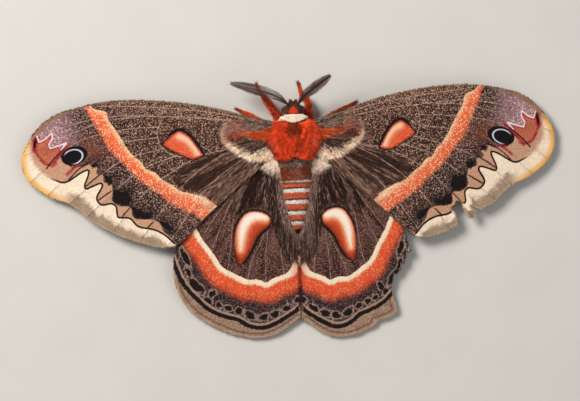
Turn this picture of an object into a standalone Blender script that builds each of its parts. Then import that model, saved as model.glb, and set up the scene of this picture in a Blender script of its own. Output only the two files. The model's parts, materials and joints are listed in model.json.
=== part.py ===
"""A cecropia moth at rest with its wings spread, at life size.

Lengths below are millimetres, and become metres where a mesh is made.  +Y points to the
head, +X to the moth's right and +Z up; the floor is z = 0 and the body lies over x = 0.
The finished moth is moved so that the middle of its box stands over the origin.
"""
import itertools
import math
import random

import bpy
import bmesh
import numpy as np
from mathutils import Vector
from mathutils.geometry import delaunay_2d_cdt

MM = 0.001
GAP = 0.3

# The body's core, head to tail: place along Y, half width, half height, height of its middle
BODY_STATIONS = (
    (10.4, 0.9, 0.9, 6.6),
    (9.6, 2.0, 1.9, 6.7),
    (8.2, 2.7, 2.5, 6.7),
    (6.8, 2.8, 2.8, 6.8),
    (5.4, 4.1, 3.8, 7.0),
    (3.5, 5.2, 4.7, 7.3),
    (0.0, 5.6, 5.1, 7.4),
    (-3.5, 5.3, 4.9, 7.3),
    (-6.6, 4.5, 4.3, 6.9),
    (-9.0, 4.0, 3.9, 6.5),
    (-13.0, 3.9, 3.8, 6.2),
    (-17.0, 3.5, 3.4, 5.8),
    (-20.5, 2.7, 2.7, 5.4),
    (-23.5, 1.8, 1.9, 5.0),
    (-25.8, 0.7, 0.8, 4.7),
)
HEAD_FRONT = 10.4
HEAD_REAR = 6.95
COLLAR_FRONT = HEAD_REAR - GAP
COLLAR_REAR = 5.6
THORAX_FRONT = COLLAR_REAR - GAP
THORAX_REAR = -6.6
ABDOMEN_FRONT = THORAX_REAR - GAP
ABDOMEN_REAR = -25.8
ABDOMEN_RINGS = 8
RING_STEP = 0.06
BODY_SIDES = 18

EYE_RADIUS = 1.15
EYE_PLACE = (2.2, 8.4, 6.5)

# Locks of hair: where along its length each ring stands, and its share of width and depth
LOCK_RINGS = ((0.0, 0.85, 1.0), (0.42, 1.0, 0.9), (0.78, 0.62, 0.6))
LOCK_SINK = 0.8
SLIVERS = (0.008, 0.012, 0.004, 0.02)
SEED = 7

# Each tier of locks: its place along Y, the span and step of its roots in degrees from the
# top of the body, and a lock's length, width, depth and the height of its tip
THORAX_TIERS = (
    (4.4, 45, 15, 4.2, 2.2, 0.6, 1.1),
    (2.9, 51, 17, 4.5, 2.3, 0.6, 1.3),
    (1.2, 42, 14, 4.7, 2.2, 0.6, 1.5),
    (-0.4, 51, 17, 4.7, 2.3, 0.6, 1.6),
    (-1.9, 42, 14, 4.6, 2.2, 0.6, 1.7),
    (-4.2, 48, 16, 3.0, 2.1, 0.5, 0.9),
)
UNDER_TIERS = ((3.2, 166), (3.4, 180), (-0.4, 166), (-0.2, 180), (-3.2, 180),
               (3.4, 108), (0.4, 108), (-2.6, 108))
UNDER_LOCK = (3.6, 1.7, 0.6, 0.8)
SIDE_LOCK_ROWS = (1.8, 0.4, -1.0, -2.3)
SIDE_LOCK_ROOT = (4.0, 10.2)
SIDE_LOCK_REACH = (8.0, -2.9, 9.85)
SIDE_LOCK_SIZE = (1.9, 0.5)
TAIL_TIERS = (
    (-7.9, 54, 18, 2.6, 1.7, 0.5, 0.6),
    (-9.5, 45, 18, 2.4, 1.7, 0.5, 0.6),
)
TAIL_TUFT = (-24.6, 180, 60, 1.7, 0.9, 0.5, 0.25)
COLLAR_TIER = (6.2, 60, 15, 1.7, 1.5, 0.5, 1.7)
BROW_TIER = (7.6, 30, 15, 1.6, 1.0, 0.5, 0.9)
SIDE_SHORTENING = 0.5
FAN_OUT = 0.35

# Shoulder flaps over the wing roots, and the tufts behind them, as root and bends and tip
SHOULDER_FLAP = ((3.5, 3.5, 9.4), (5.2, 2.8, 10.5), (6.5, 1.2, 10.4), (7.4, -1.2, 9.95))
SHOULDER_SIZE = (2.8, 0.8)
WING_TUFT_ROOTS = ((3.9, -3.4, 9.9), (3.9, -4.2, 9.9), (3.8, -4.8, 9.9), (3.7, -5.3, 9.9))
WING_TUFT_TIPS = ((9.0, -5.9, 9.5), (8.2, -8.2, 9.0), (7.0, -9.8, 8.5), (5.8, -10.9, 8.3))
WING_TUFT_SIZE = (1.9, 0.5)
PALP = ((0.8, 9.0, 5.3), (0.8, 10.0, 5.0), (0.75, 10.6, 5.1), (0.7, 11.1, 5.5))
PALP_SIZE = (0.9, 0.7)

# Wings: the plate, its ridges, and how it sinks from the root to the margin
WING_THICKNESS = 0.5
WING_ROOT_HEIGHT = 8.7
WING_SINK = 6.2
WING_SINK_POWER = 1.3
WING_REACH = (72.0, 58.0)
HINDWING_DROP = 1.2
MARGIN_STEP = 3.0
FILL_STEP = 5.5
VEIN_RISE = 0.3
VEIN_HALF_WIDTH = 0.55
VEIN_STEP = 4.2
VEIN_END = 0.9
MERGE_DISTANCE = 1e-4

# Outlines as distance out from the body's middle line and place along Y
FOREWING_ROOT = (4.6, -4.3)
FOREWING_OUTLINE = (
    (12.2, 6.9), (20.5, 9.3), (28.8, 11.1), (40.0, 12.6), (51.1, 12.8), (60.0, 11.5),
    (68.1, 9.0), (74.0, 3.6), (76.9, -3.0), (74.9, -8.9), (69.0, -13.3), (63.1, -15.8),
    (56.9, -21.0), (50.5, -24.7), (42.5, -27.6), (37.0, -28.6), (33.0, -27.4),
    (25.3, -20.3), (17.2, -13.3), (9.6, -6.9),
)
HINDWING_ROOT = (-2.4, -6.6)
HINDWING_OUTLINE = (
    (14.0, -5.6), (24.0, -14.0), (32.0, -21.5), (34.3, -28.0), (35.4, -36.5),
    (33.2, -43.9), (28.4, -49.0), (22.8, -52.3), (17.3, -54.4), (11.8, -55.1),
    (7.0, -54.0), (3.2, -51.8), (1.0, -50.4),
)
HINDWING_INNER_END = -49.6

# Main veins, from root to margin, in the same places as the outlines
FOREWING_VEINS = (
    ((7.2, 4.4), (19.2, 7.8), (31.7, 9.8), (42.8, 11.0), (54.9, 10.8)),
    ((7.3, 3.2), (17.8, 6.0), (27.6, 7.2), (37.4, 8.0), (48.6, 8.6), (58.4, 7.6), (70.3, 3.3)),
    ((43.0, 8.1), (51.4, 7.5), (59.9, 5.1), (67.0, 2.3), (74.5, -0.9)),
    ((37.5, 5.1), (45.9, 4.9), (52.9, 3.9), (58.6, 2.6), (64.0, 0.0), (73.5, -8.2)),
    ((38.2, 2.1), (47.4, 1.3), (54.5, -0.4), (60.3, -4.4), (68.9, -11.5)),
    ((37.2, -1.1), (46.2, -3.2), (53.4, -6.9), (62.9, -14.2)),
    ((33.3, -3.2), (42.1, -6.2), (50.8, -12.3), (58.6, -18.5)),
    ((26.6, -3.3), (34.6, -7.6), (42.4, -13.2), (51.5, -22.6)),
    ((15.9, -1.3), (25.3, -6.3), (34.0, -13.8), (44.0, -25.7)),
    ((7.4, 1.7), (16.7, -1.2), (25.2, -3.1), (30.8, -3.6), (35.5, -2.3), (37.9, 0.6),
     (38.1, 4.3), (36.8, 7.6)),
    ((7.5, -1.9), (16.9, -6.3), (25.6, -13.3), (36.2, -26.8)),
)
HINDWING_VEINS = (
    ((8.2, -5.3), (15.7, -10.6), (23.8, -18.1), (29.7, -24.1), (34.0, -32.8)),
    ((9.4, -7.5), (17.2, -13.9), (24.0, -22.0), (29.9, -31.3), (33.9, -41.3)),
    ((16.9, -13.6), (20.3, -20.5), (24.3, -30.4), (29.4, -46.8)),
    ((15.9, -14.8), (18.1, -22.3), (19.7, -33.4), (23.4, -51.0)),
    ((8.3, -22.7), (10.8, -28.7), (13.8, -34.8), (15.3, -44.2), (16.5, -53.6)),
    ((7.0, -16.5), (8.8, -27.7), (9.5, -37.5), (9.3, -54.0)),
    ((5.6, -10.2), (5.6, -20.8), (4.8, -33.4), (3.8, -44.7), (3.6, -51.0)),
)

# Torn and worn stretches of the right wings' margins, where they lie on that side
FOREWING_TEAR = (
    (54.6, -19.8), (51.6, -21.5), (48.6, -20.0), (48.6, -20.8), (50.3, -22.1), (49.5, -23.7),
    (48.2, -24.0), (46.4, -20.7), (45.5, -18.9), (44.5, -18.8), (43.0, -20.9), (44.3, -22.5),
    (44.6, -25.7), (42.5, -26.3),
)
HINDWING_WEAR = (
    (29.1, -25.2), (30.6, -29.8), (31.4, -32.2), (30.3, -32.3), (29.2, -35.8),
    (28.3, -35.3), (28.3, -37.3), (27.2, -38.7), (26.3, -38.3), (25.4, -42.2),
    (26.1, -45.9), (27.1, -49.3), (24.2, -50.8), (20.8, -51.8),
)
WEAR = {("forewing", "right"): FOREWING_TEAR, ("hindwing", "right"): HINDWING_WEAR}
INNER_CLEARANCE = 0.4

# How each side differs: sign of X, scale along the span and the chord, sweep forward
SIDES = {
    "left": {"sign": -1.0, "fore_span": 1.0, "hind_span": 1.0, "chord": 1.0, "sweep": 0.0},
    "right": {"sign": 1.0, "fore_span": 0.945, "hind_span": 0.885, "chord": 1.013,
              "sweep": 0.95},
}
FOREWING_PIVOT = 6.0
HINDWING_PIVOT = 4.5

# Legs: path points after the hip, as X on that side, Y and height, and radii along the path
LEG_RADII = (0.75, 1.05, 0.95, 0.62, 0.42, 0.36, 0.3)
LEG_SIDES = 8
SOLE_HEIGHT = 0.27
CLAW_LENGTH = 0.9
CLAW_SPREAD = 0.45
CLAW_RADIUS = 0.26
LEGS = {
    "foreleg": {
        "hip": (4.2, 138.0),
        "left": ((4.6, 7.0, 3.4), (7.3, 11.2, 4.4), (8.7, 13.4, 2.2),
                 (9.5, 14.4, SOLE_HEIGHT), (10.0, 15.4, SOLE_HEIGHT),
                 (10.2, 16.5, SOLE_HEIGHT)),
        "right": ((4.2, 7.0, 3.2), (4.1, 10.6, 4.2), (2.7, 12.3, 2.2),
                  (2.3, 13.5, SOLE_HEIGHT), (2.0, 14.9, SOLE_HEIGHT),
                  (1.5, 16.4, SOLE_HEIGHT)),
    },
    "midleg": {
        "hip": (0.6, 140.0),
        "left": ((5.6, 2.6, 2.9), (9.6, 6.0, 4.8), (12.4, 7.7, 2.4),
                 (13.8, 8.3, SOLE_HEIGHT), (15.0, 8.9, SOLE_HEIGHT),
                 (16.2, 9.6, SOLE_HEIGHT)),
        "right": ((5.6, 2.6, 2.9), (9.6, 6.1, 4.9), (13.0, 7.9, 2.8),
                  (15.2, 8.9, SOLE_HEIGHT), (16.5, 9.5, SOLE_HEIGHT),
                  (17.8, 10.3, SOLE_HEIGHT)),
    },
    "hindleg": {
        "hip": (-3.6, 146.0),
        "left": ((4.6, -5.6, 2.6), (7.6, -10.4, 3.6), (8.8, -14.0, 2.0),
                 (9.2, -16.4, SOLE_HEIGHT), (9.5, -18.2, SOLE_HEIGHT),
                 (9.8, -20.0, SOLE_HEIGHT)),
        "right": ((4.6, -5.6, 2.6), (7.4, -10.2, 3.6), (8.4, -13.6, 2.0),
                  (8.8, -16.0, SOLE_HEIGHT), (9.0, -17.8, SOLE_HEIGHT),
                  (9.2, -19.6, SOLE_HEIGHT)),
    },
}

# Antennae: the socket on the brow, the stem's path from it, and the comb of side branches
ANTENNA_SOCKET = (9.5, 34.0)
ANTENNAE = {
    "left": ((2.5, 10.8, 9.7), (3.9, 11.9, 10.1), (5.8, 12.84, 10.2), (7.7, 13.6, 10.1),
             (10.65, 14.5, 9.7), (13.5, 15.4, 9.1), (17.2, 16.5, 8.1)),
    "right": ((2.2, 11.1, 10.2), (3.9, 12.7, 11.9), (5.73, 13.9, 13.5), (7.0, 14.8, 14.8),
              (8.5, 15.8, 16.2), (10.5, 17.2, 18.2)),
}
STEM_RADII = (0.36, 0.32, 0.28, 0.24)
STEM_SIDES = 6
BRANCH_PITCH = 1.0
BRANCH_START = 1.9
BRANCH_LENGTHS = (0.9, 1.8, 2.1, 2.0, 1.5, 0.7)
BRANCH_LEAN = 58.0
BRANCH_DROOP = 0.25
BRANCH_RADIUS = 0.25
BRANCH_INSET = 0.06
BRANCH_STAGGER = 0.11

COLOURS = {
    "red_hair": ((0.55, 0.07, 0.02), 0.9),
    "white_hair": ((0.85, 0.78, 0.66), 0.9),
    "wing_scales": ((0.09, 0.06, 0.05), 0.85),
    "abdomen_hair": ((0.45, 0.10, 0.04), 0.9),
    "antenna_comb": ((0.06, 0.04, 0.035), 0.7),
    "eye_gloss": ((0.01, 0.008, 0.008), 0.15),
}


def clear_scene():
    for obj in list(bpy.data.objects):
        bpy.data.objects.remove(obj, do_unlink=True)


def material(name):
    """One shared Principled material for each kind of surface."""
    found = bpy.data.materials.get(name)
    if found:
        return found
    colour, roughness = COLOURS[name]
    made = bpy.data.materials.new(name)
    made.use_nodes = True
    shader = made.node_tree.nodes["Principled BSDF"]
    shader.inputs["Base Color"].default_value = (*colour, 1.0)
    shader.inputs["Roughness"].default_value = roughness
    shader.inputs["Metallic"].default_value = 0.0
    return made


def add_node(name, verts, faces, look):
    """Make one named object from points in millimetres and faces that look outwards."""
    mesh = bpy.data.meshes.new(name)
    mesh.from_pydata([tuple(float(c) * MM for c in v) for v in verts], [], faces)
    mesh.validate()
    obj = bpy.data.objects.new(name, mesh)
    bpy.context.scene.collection.objects.link(obj)
    mesh.materials.append(material(look))
    work = bmesh.new()
    work.from_mesh(mesh)
    bmesh.ops.recalc_face_normals(work, faces=work.faces)
    work.to_mesh(mesh)
    work.free()
    mesh.shade_smooth()
    return obj


def smooth_path(points, step):
    """A Catmull-Rom curve through the points, read about every step millimetres."""
    pts = np.array(points, float)
    ends = np.vstack([2 * pts[0] - pts[1], pts, 2 * pts[-1] - pts[-2]])
    path = []
    for i in range(1, len(ends) - 2):
        a, b, c, d = ends[i - 1], ends[i], ends[i + 1], ends[i + 2]
        count = max(1, round(float(np.linalg.norm(c - b)) / step))
        for k in range(count):
            t = k / count
            path.append(0.5 * (2 * b + (c - a) * t + (2 * a - 5 * b + 4 * c - d) * t * t
                               + (3 * b - a - 3 * c + d) * t ** 3))
    path.append(pts[-1])
    return np.array(path)


def along(values, fraction):
    """Read a list of sizes, spread evenly from 0 to 1, at a fraction of its length."""
    return float(np.interp(fraction, np.linspace(0.0, 1.0, len(values)), values))


BODY_CURVE = smooth_path(BODY_STATIONS, 0.4)[::-1]


def body_at(y):
    """Half width, half height and middle height of the body's core at a place along it."""
    return tuple(float(np.interp(y, BODY_CURVE[:, 0], BODY_CURVE[:, k])) for k in (1, 2, 3))


def body_point(y, degrees):
    """A point on the core, with its outward direction; the angle runs down from the top."""
    wide, tall, middle = body_at(y)
    turn = math.radians(degrees)
    point = Vector((wide * math.sin(turn), y, middle + tall * math.cos(turn)))
    normal = Vector((math.sin(turn) / wide, 0.0, math.cos(turn) / tall)).normalized()
    return point, normal


def rings_to_solid(rings):
    """Skin a row of equal rings and close both ends with a fan."""
    sides = len(rings[0])
    verts = [tuple(p) for ring in rings for p in ring]
    faces = []
    for r in range(len(rings) - 1):
        for s in range(sides):
            t = (s + 1) % sides
            a, b = r * sides + s, r * sides + t
            faces.append((a, b, b + sides, a + sides))
    for r, ring in ((0, rings[0]), (len(rings) - 1, rings[-1])):
        hub = len(verts)
        verts.append(tuple(np.mean(np.array(ring, float), axis=0)))
        for s in range(sides):
            t = (s + 1) % sides
            faces.append((r * sides + s, r * sides + t, hub))
    return verts, faces


def body_ring(y, swell=1.0):
    wide, tall, middle = body_at(y)
    ring = []
    for s in range(BODY_SIDES):
        turn = math.tau * s / BODY_SIDES
        ring.append((wide * swell * math.cos(turn), y, middle + tall * swell * math.sin(turn)))
    return ring


def body_slice(front, rear, steps):
    return rings_to_solid([body_ring(y) for y in np.linspace(front, rear, steps + 1)])


def abdomen_solid():
    """The tail end: each ring swells to its rear edge, then steps in for the next."""
    length = ABDOMEN_FRONT - ABDOMEN_REAR
    ring_length = length / ABDOMEN_RINGS
    rings = []
    for k in range(ABDOMEN_RINGS):
        start = ABDOMEN_FRONT - k * ring_length
        rings.append(body_ring(start, 1.0 - RING_STEP))
        rings.append(body_ring(start - 0.8 * ring_length, 1.0 + 0.3 * RING_STEP))
    rings.append(body_ring(ABDOMEN_REAR, 1.0 - RING_STEP))
    return rings_to_solid(rings)


def sweep(path, shape, up):
    """Carry a cross-section along a path.  shape(fraction) gives (side, up) offsets."""
    rings = []
    count = len(path) - 1
    for i, point in enumerate(path):
        ahead = path[min(i + 1, count)] - path[max(i - 1, 0)]
        ahead = Vector(ahead).normalized()
        side = ahead.cross(Vector(up)).normalized()
        lift = side.cross(ahead)
        rings.append([Vector(point) + side * a + lift * b for a, b in shape(i / count)])
    return rings_to_solid(rings)


def round_section(radius, sides):
    """A round cross-section with a flat side down."""
    turns = [math.tau * (s + 0.5) / sides for s in range(sides)]
    return [(radius * math.sin(t), radius * math.cos(t)) for t in turns]


def lock_solid(spine, ups, width, depth):
    """A flat lock that narrows along its spine to a point, with a keel above and below."""
    verts = []
    for k, (_, share, deep) in enumerate(LOCK_RINGS):
        ahead = (Vector(spine[k + 1]) - Vector(spine[max(k - 1, 0)])).normalized()
        side = ahead.cross(ups[k]).normalized()
        lift = side.cross(ahead)
        at = Vector(spine[k])
        verts += [at + side * (0.5 * width * share), at + lift * (0.5 * depth * deep),
                  at - side * (0.5 * width * share), at - lift * (0.5 * depth * deep)]
    tip = len(verts)
    verts.append(Vector(spine[-1]))
    faces = [(3, 2, 1, 0)]
    for base in range(0, tip - 4, 4):
        for s in range(4):
            t = (s + 1) % 4
            faces.append((base + s, base + t, base + t + 4, base + s + 4))
    faces += [(tip - 4 + s, tip - 4 + (s + 1) % 4, tip) for s in range(4)]
    return [tuple(v) for v in verts], faces


def coat_lock(y, degrees, length, width, depth, lift, lean):
    """A lock that rises out of the core and lies along it; lean 0 is tailwards."""
    spine = []
    ups = []
    reach = max(body_at(y)[:2])
    turn = math.radians(lean)
    for share in [ring[0] for ring in LOCK_RINGS] + [1.0]:
        run = length * share
        round_body = degrees + math.degrees(run * math.sin(turn) / reach)
        point, normal = body_point(y - run * math.cos(turn), round_body)
        spine.append(point + normal * (-LOCK_SINK + (lift + LOCK_SINK) * share ** 0.6))
        ups.append(normal)
    return lock_solid(spine, ups, width, depth)


def tier_of_locks(tier, draw, forward=False, shortening=0.0):
    """One row of locks across the top of the body, fanned outwards and varied a little."""
    y, span, step, full_length, width, depth, lift = tier
    locks = []
    count = int(round(2 * span / step))
    for k in range(count + 1 if span < 180 else count):
        degrees = -span + 2.0 * span * k / count
        lean = 180.0 - FAN_OUT * degrees if forward else FAN_OUT * degrees
        if span == 180:
            lean = 0.0
        length = full_length * (1.0 - shortening * (1.0 - math.cos(math.radians(degrees))))
        locks.append(coat_lock(y + draw.uniform(-0.2, 0.2), degrees + draw.uniform(-2, 2),
                               length * draw.uniform(0.88, 1.1), width * draw.uniform(0.9, 1.1),
                               depth, lift * draw.uniform(0.85, 1.15),
                               lean + draw.uniform(-7, 7)))
    return locks


def free_lock(points, size, sign, draw):
    """A lock along its own points, mirrored to its side."""
    spine = [Vector((p[0] * sign, p[1], p[2] + draw.uniform(-0.05, 0.05))) for p in points]
    return lock_solid(spine, [Vector((0.0, 0.0, 1.0))] * 3, *size)


def bend_between(root, tip, rise):
    """Root, two bends a little above the straight way, and tip."""
    points = []
    for share in [ring[0] for ring in LOCK_RINGS] + [1.0]:
        point = Vector(root).lerp(Vector(tip), share)
        point.z += rise * math.sin(math.pi * share)
        points.append(tuple(point))
    return points


def drop_fins(work):
    """Remove faces that lie back to back, and any that hang on by one edge."""
    while True:
        seen = {}
        for face in work.faces:
            seen.setdefault(frozenset(face.verts), []).append(face)
        loose = [face for faces in seen.values() if len(faces) > 1 for face in faces]
        loose += [face for face in work.faces
                  if len(seen[frozenset(face.verts)]) == 1
                  and any(len(edge.link_faces) == 1 for edge in face.edges)]
        if not loose:
            return
        bmesh.ops.delete(work, geom=loose, context="FACES")


def connected_shells(work):
    """The faces of a mesh, in lists that are joined by edges."""
    left = set(work.faces)
    shells = []
    while left:
        stack = [left.pop()]
        shell = list(stack)
        while stack:
            face = stack.pop()
            for other in [other for edge in face.edges for other in edge.link_faces]:
                if other in left:
                    left.remove(other)
                    stack.append(other)
                    shell.append(other)
        shells.append(shell)
    return shells


def enclosed_volume(shell):
    """The volume inside a closed list of faces."""
    total = 0.0
    for face in shell:
        base = face.verts[0].co
        for a, b in zip(face.verts[1:], face.verts[2:]):
            total += base.dot(a.co.cross(b.co)) / 6.0
    return total


def largest_shell(mesh, sliver):
    """Melt slivers away and keep only the connected surface that encloses the most."""
    work = bmesh.new()
    work.from_mesh(mesh)
    bmesh.ops.triangulate(work, faces=work.faces)
    bmesh.ops.dissolve_degenerate(work, dist=sliver * MM, edges=work.edges)
    bmesh.ops.triangulate(work, faces=work.faces)
    drop_fins(work)
    shells = sorted(connected_shells(work), key=enclosed_volume)
    drop = [face for shell in shells[:-1] for face in shell]
    bmesh.ops.delete(work, geom=drop, context="FACES")
    work.to_mesh(mesh)
    work.free()


def is_closed(mesh):
    """Whether every edge of a mesh joins exactly two faces."""
    work = bmesh.new()
    work.from_mesh(mesh)
    closed = all(len(edge.link_faces) == 2 for edge in work.edges)
    work.free()
    return closed


def fuse(obj, pieces):
    """Join closed pieces to an object with one union, then drop what it cuts loose."""
    group = bpy.data.collections.new("pieces")
    bpy.context.scene.collection.children.link(group)
    look = obj.data.materials[0].name
    for k, (verts, faces) in enumerate(pieces):
        piece = add_node(f"piece_{k}", verts, faces, look)
        bpy.context.scene.collection.objects.unlink(piece)
        group.objects.link(piece)
    step = obj.modifiers.new("union", "BOOLEAN")
    step.operation = "UNION"
    step.operand_type = "COLLECTION"
    step.collection = group
    for solver, sliver in itertools.product(("EXACT", "MANIFOLD"), SLIVERS):
        step.solver = solver
        deps = bpy.context.evaluated_depsgraph_get()
        mesh = bpy.data.meshes.new_from_object(obj.evaluated_get(deps))
        largest_shell(mesh, sliver)
        if is_closed(mesh):
            break
    obj.modifiers.clear()
    obj.data = mesh
    for piece in list(group.objects):
        bpy.data.objects.remove(piece, do_unlink=True)
    bpy.data.collections.remove(group)
    mesh.shade_smooth()
    return obj


def spike(start, bend, tip, radius):
    """A thin four-sided branch that bends once and ends in a point."""
    start, bend, tip = Vector(start), Vector(bend), Vector(tip)
    verts = []
    for at, ahead, size in ((start, bend - start, radius), (bend, tip - start, 0.8 * radius)):
        ahead = ahead.normalized()
        side = ahead.cross(Vector((0.0, 0.0, 1.0))).normalized()
        lift = side.cross(ahead)
        verts += [at + side * size, at + lift * size, at - side * size, at - lift * size]
    verts.append(tip)
    faces = [(3, 2, 1, 0)]
    for s in range(4):
        t = (s + 1) % 4
        faces.append((s, t, t + 4, s + 4))
        faces.append((s + 4, t + 4, 8))
    return [tuple(v) for v in verts], faces


def claw_pair(path):
    """Two hooks that part from the end of the foot."""
    end = Vector(path[-1])
    ahead = (end - Vector(path[-2])).normalized()
    side = ahead.cross(Vector((0.0, 0.0, 1.0)))
    claws = []
    for way in (-1.0, 1.0):
        start = end - ahead * 0.4
        bend = end + ahead * (0.4 * CLAW_LENGTH) + side * (way * 0.5 * CLAW_SPREAD)
        tip = end + ahead * CLAW_LENGTH + side * (way * CLAW_SPREAD)
        bend.z = 0.42
        tip.z = 0.12
        claws.append(spike(start, bend, tip, CLAW_RADIUS))
    return claws


def add_leg(kind, side):
    """A leg from its hip on the core to a foot whose underside is flat on the floor."""
    sign = SIDES[side]["sign"]
    y, degrees = LEGS[kind]["hip"]
    point, normal = body_point(y, degrees)
    hip = point + normal * GAP
    start = [tuple(hip), tuple(hip + normal * 1.0)]
    path = smooth_path(start + list(LEGS[kind][side]), 1.9)
    path[:, 0] *= sign
    verts, faces = sweep(path, lambda f: round_section(along(LEG_RADII, f), LEG_SIDES),
                         (0.0, 0.0, 1.0))
    verts = [(v[0], v[1], max(v[2], 0.0)) for v in verts]
    leg = add_node(f"{kind}_{side}", verts, faces, "red_hair")
    return fuse(leg, claw_pair(path))


def antenna_path(side):
    """The stem's middle line, from just off the brow to its tip."""
    point, normal = body_point(*ANTENNA_SOCKET)
    start = [tuple(point + normal * GAP), tuple(point + normal * (GAP + 0.7))]
    path = smooth_path(start + list(ANTENNAE[side]), 0.5 * BRANCH_PITCH)
    path[:, 0] *= SIDES[side]["sign"]
    return path


def antenna_branches(path):
    """Side branches in pairs, longest in the middle, leaning towards the tip."""
    steps = np.linalg.norm(np.diff(path, axis=0), axis=1)
    run = np.concatenate([[0.0], np.cumsum(steps)])
    lean = math.radians(BRANCH_LEAN)
    branches = []
    for at in np.arange(BRANCH_START, run[-1] - 0.4, BRANCH_PITCH):
        root = Vector([float(np.interp(at, run, path[:, k])) for k in range(3)])
        ahead = Vector([float(np.interp(at + 0.5, run, path[:, k])) for k in range(3)]) - root
        ahead = ahead.normalized()
        side = ahead.cross(Vector((0.0, 0.0, 1.0))).normalized()
        down = ahead.cross(side) * BRANCH_DROOP
        share = (at - BRANCH_START) / (run[-1] - BRANCH_START)
        length = along(BRANCH_LENGTHS, share)
        for way in (-1.0, 1.0):
            out = side * (way * math.sin(lean)) + ahead * math.cos(lean)
            start = root + side * (way * BRANCH_INSET) + ahead * (way * BRANCH_STAGGER)
            bend = start + out * (0.55 * length) + down * (0.3 * length)
            tip = start + out * length + ahead * (0.15 * length) + down * length
            branches.append(spike(start, bend, tip, BRANCH_RADIUS))
    return branches


def add_antenna(side):
    path = antenna_path(side)
    stem = path[::3]
    if len(path) % 3 != 1:
        stem = np.vstack([stem, path[-1]])
    verts, faces = sweep(stem, lambda f: round_section(along(STEM_RADII, f), STEM_SIDES),
                         (0.0, 0.0, 1.0))
    antenna = add_node(f"antenna_{side}", verts, faces, "antenna_comb")
    return fuse(antenna, antenna_branches(path))


def ball(centre, radius, rows=6, columns=12):
    rings = []
    for r in range(1, rows):
        tilt = math.pi * r / rows
        ring = [(centre[0] + radius * math.sin(tilt) * math.cos(math.tau * c / columns),
                 centre[1] + radius * math.sin(tilt) * math.sin(math.tau * c / columns),
                 centre[2] + radius * math.cos(tilt)) for c in range(columns)]
        rings.append(ring)
    verts, faces = rings_to_solid(rings)
    verts[-2] = (centre[0], centre[1], centre[2] + radius)
    verts[-1] = (centre[0], centre[1], centre[2] - radius)
    return verts, faces


def apply_boolean(obj, other, operation):
    """Cut or join another object into this one, then remove the other."""
    step = obj.modifiers.new("shape", "BOOLEAN")
    step.operation = operation
    step.object = other
    step.solver = "EXACT"
    deps = bpy.context.evaluated_depsgraph_get()
    mesh = bpy.data.meshes.new_from_object(obj.evaluated_get(deps))
    obj.modifiers.clear()
    obj.data = mesh
    bpy.data.objects.remove(other, do_unlink=True)


def add_head():
    """The head's core, hollowed at each side for an eye."""
    head = add_node("head", *body_slice(HEAD_FRONT, HEAD_REAR, 6), "red_hair")
    for side, place in SIDES.items():
        x, y, z = EYE_PLACE
        centre = (x * place["sign"], y, z)
        add_node(f"eye_{side}", *ball(centre, EYE_RADIUS), "eye_gloss")
        socket = add_node("socket", *ball(centre, EYE_RADIUS + GAP), "red_hair")
        apply_boolean(head, socket, "DIFFERENCE")
    draw = random.Random(SEED)
    locks = tier_of_locks(BROW_TIER, draw, forward=True)
    locks += [free_lock(PALP, PALP_SIZE, place["sign"], draw) for place in SIDES.values()]
    return fuse(head, locks)


def add_collar():
    collar = add_node("collar", *body_slice(COLLAR_FRONT, COLLAR_REAR, 2), "white_hair")
    draw = random.Random(SEED + 1)
    return fuse(collar, tier_of_locks(COLLAR_TIER, draw, shortening=SIDE_SHORTENING))


def add_thorax():
    """The core and its coat, with the shoulder flaps and the tufts behind the wing roots."""
    thorax = add_node("thorax", *body_slice(THORAX_FRONT, THORAX_REAR, 12), "red_hair")
    draw = random.Random(SEED + 2)
    locks = []
    for tier in THORAX_TIERS:
        locks += tier_of_locks(tier, draw)
    for place in SIDES.values():
        sign = place["sign"]
        locks += [coat_lock(y, degrees * sign, *UNDER_LOCK, 0.0)
                  for y, degrees in UNDER_TIERS if degrees < 180 or sign > 0]
        locks.append(free_lock(SHOULDER_FLAP, SHOULDER_SIZE, sign, draw))
        for y in SIDE_LOCK_ROWS:
            root = (SIDE_LOCK_ROOT[0], y, SIDE_LOCK_ROOT[1])
            tip = (SIDE_LOCK_REACH[0], y + SIDE_LOCK_REACH[1], SIDE_LOCK_REACH[2])
            locks.append(free_lock(bend_between(root, tip, 0.35), SIDE_LOCK_SIZE, sign, draw))
        for root, tip in zip(WING_TUFT_ROOTS, WING_TUFT_TIPS):
            locks.append(free_lock(bend_between(root, tip, 0.35), WING_TUFT_SIZE, sign, draw))
    return fuse(thorax, locks)


def add_abdomen():
    abdomen = add_node("abdomen", *abdomen_solid(), "abdomen_hair")
    draw = random.Random(SEED + 3)
    locks = []
    for tier in TAIL_TIERS:
        locks += tier_of_locks(tier, draw)
    locks += tier_of_locks(TAIL_TUFT, draw)
    return fuse(abdomen, locks)


def wing_height(x, y):
    """Height of the forewing's middle surface over the floor."""
    out = max(abs(x) - 5.0, 0.0) / WING_REACH[0]
    back = max(3.0 - y, 0.0) / WING_REACH[1]
    return WING_ROOT_HEIGHT - WING_SINK * math.hypot(out, back) ** WING_SINK_POWER


def place_on_side(points, side, pivot, span):
    """Turn and scale outline points about the wing's root, and put them on their side."""
    place = SIDES[side]
    turn = math.radians(place["sweep"])
    placed = []
    for x, y in points:
        out = (x - pivot) * span
        along_y = y * place["chord"] + out * math.sin(turn)
        placed.append((pivot + out * math.cos(turn), along_y))
    return placed


def root_edge(front, rear):
    """Points beside the body's core, from front to rear, one gap away from it."""
    return [(body_at(y)[0] + GAP, float(y)) for y in np.linspace(front, rear, 5)]


def worn(curve, kind, side):
    """The margin with its torn or worn stretch, if this wing has one, put in its place."""
    stretch = WEAR.get((kind, side))
    points = [tuple(float(c) for c in p) for p in curve]
    if not stretch:
        return points
    ends = []
    for place in (stretch[0], stretch[-1]):
        gaps = [math.dist(place, point) for point in points]
        ends.append(gaps.index(min(gaps)))
    return points[:ends[0]] + list(stretch) + points[ends[1] + 1:]


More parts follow.
